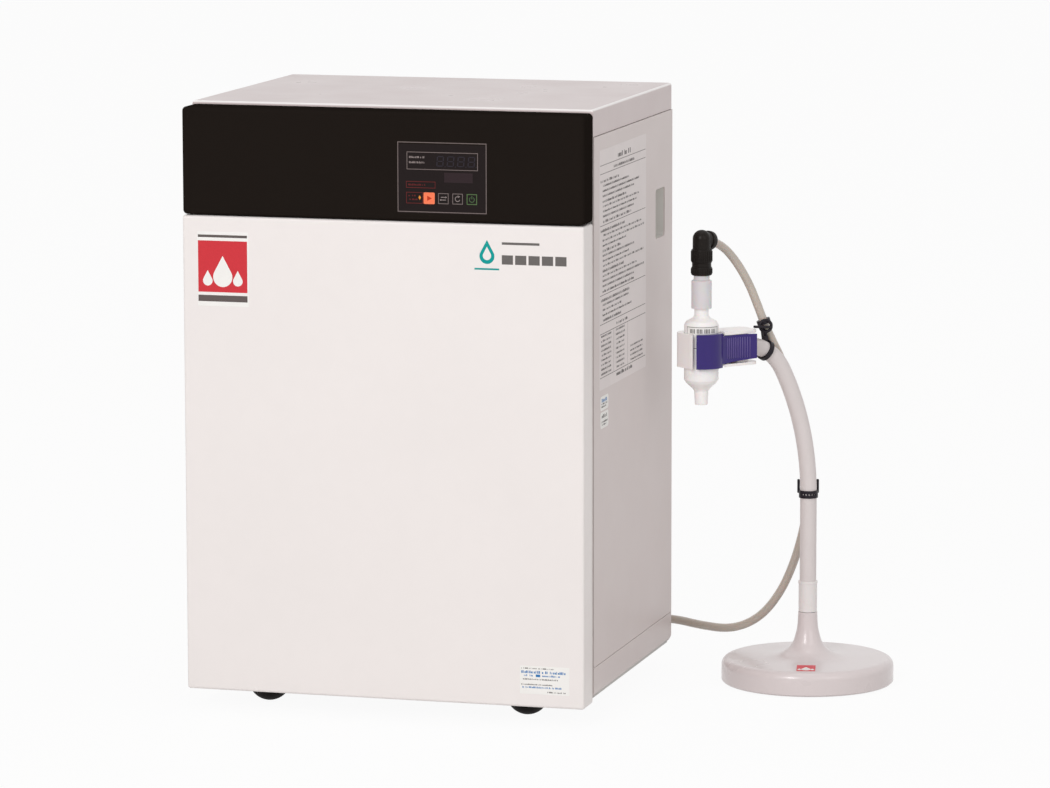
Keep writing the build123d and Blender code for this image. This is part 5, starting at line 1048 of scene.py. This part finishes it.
# Area lamps: name, place, width and height, watts and tint
TARGET = (0.0, 0.0, 0.3)
WARM = (1.0, 0.985, 0.97)
SOFTBOXES = (
    ("key", (-0.55, -3.9, 2.1), (0.9, 1.6), 56, (1, 1, 1)),
    ("fill", (2.6, -2.2, 1.6), (1.6, 2.0), 14, WARM),
    ("top", (0.1, -0.2, 3.2), (1.6, 0.5), 5, (1, 1, 1)),
)
WORLD_LIGHT = 0.58
FLOOR_GLOW = 0.94
FLOOR_HALF = 16.0


def add_camera():
    """The photograph's point of view."""
    data = bpy.data.cameras.new("camera")
    data.lens = CAMERA_LENS
    data.sensor_width = 36.0
    data.clip_end = 60
    azimuth, elevation, roll = CAMERA_AZIMUTH, CAMERA_DIP, CAMERA_ROLL
    forward = Vector((
        math.sin(azimuth) * math.cos(elevation),
        math.cos(azimuth) * math.cos(elevation),
        -math.sin(elevation),
    ))
    side = forward.cross(Vector((0, 0, 1))).normalized()
    down = forward.cross(side)
    across = side * math.cos(roll) + down * math.sin(roll)
    below = down * math.cos(roll) - side * math.sin(roll)
    turn = Matrix((across, -below, -forward)).transposed()
    camera = bpy.data.objects.new("camera", data)
    camera.matrix_world = Matrix.Translation(CAMERA_PLACE) @ turn.to_4x4()
    bpy.context.collection.objects.link(camera)
    bpy.context.scene.camera = camera


def add_softbox(name, place, size, power, color):
    """A rectangular lamp that points at the middle of the object."""
    data = bpy.data.lights.new(name, "AREA")
    data.shape = "RECTANGLE"
    data.size, data.size_y = size
    data.energy = power
    data.color = color
    lamp = bpy.data.objects.new(name, data)
    lamp.location = place
    aim = Vector(TARGET) - Vector(place)
    lamp.rotation_euler = aim.to_track_quat("-Z", "Y").to_euler()
    bpy.context.collection.objects.link(lamp)


def background_fac(tree):
    """One for a ray that comes from the camera, a mirror or clear glass."""
    path = tree.nodes.new("ShaderNodeLightPath")
    result = path.outputs["Is Camera Ray"]
    for kind in ("Is Glossy Ray", "Is Transmission Ray"):
        larger = tree.nodes.new("ShaderNodeMath")
        larger.operation = "MAXIMUM"
        tree.links.new(result, larger.inputs[0])
        tree.links.new(path.outputs[kind], larger.inputs[1])
        result = larger.outputs[0]
    return result


def add_world():
    """White behind the object, and a plain soft light from all round."""
    world = bpy.data.worlds.new("studio")
    bpy.context.scene.world = world
    world.use_nodes = True
    tree = world.node_tree
    tree.nodes.clear()
    out = tree.nodes.new("ShaderNodeOutputWorld")
    mix = tree.nodes.new("ShaderNodeMixShader")
    lit = tree.nodes.new("ShaderNodeBackground")
    lit.inputs["Color"].default_value = (1.0, 0.985, 0.975, 1)
    lit.inputs["Strength"].default_value = WORLD_LIGHT
    seen = tree.nodes.new("ShaderNodeBackground")
    seen.inputs["Color"].default_value = (1, 1, 1, 1)
    seen.inputs["Strength"].default_value = 1.0
    tree.links.new(background_fac(tree), mix.inputs["Fac"])
    tree.links.new(lit.outputs[0], mix.inputs[1])
    tree.links.new(seen.outputs[0], mix.inputs[2])
    tree.links.new(mix.outputs[0], out.inputs["Surface"])


def add_floor():
    """A white floor that keeps the object's shadow."""
    mesh = bpy.data.meshes.new("floor")
    r = FLOOR_HALF
    mesh.from_pydata([(-r, -r, 0), (r, -r, 0), (r, r, 0), (-r, r, 0)], [], [(0, 1, 2, 3)])
    floor = bpy.data.objects.new("floor", mesh)
    bpy.context.collection.objects.link(floor)
    mat = bpy.data.materials.new("floor_white")
    mat.use_nodes = True
    tree = mat.node_tree
    tree.nodes.clear()
    out = tree.nodes.new("ShaderNodeOutputMaterial")
    diffuse = tree.nodes.new("ShaderNodeBsdfDiffuse")
    diffuse.inputs["Color"].default_value = (0.8, 0.79, 0.785, 1)
    glow = tree.nodes.new("ShaderNodeEmission")
    glow.inputs["Strength"].default_value = 1.0
    share = tree.nodes.new("ShaderNodeMath")
    share.operation = "MULTIPLY"
    share.inputs[1].default_value = FLOOR_GLOW
    mix = tree.nodes.new("ShaderNodeMixShader")
    tree.links.new(background_fac(tree), share.inputs[0])
    tree.links.new(share.outputs[0], mix.inputs["Fac"])
    tree.links.new(diffuse.outputs[0], mix.inputs[1])
    tree.links.new(glow.outputs[0], mix.inputs[2])
    tree.links.new(mix.outputs[0], out.inputs["Surface"])
    mesh.materials.append(mat)


add_camera()
add_world()
add_floor()
for softbox in SOFTBOXES:
    add_softbox(*softbox)
bpy.context.scene.view_settings.view_transform = "Standard"
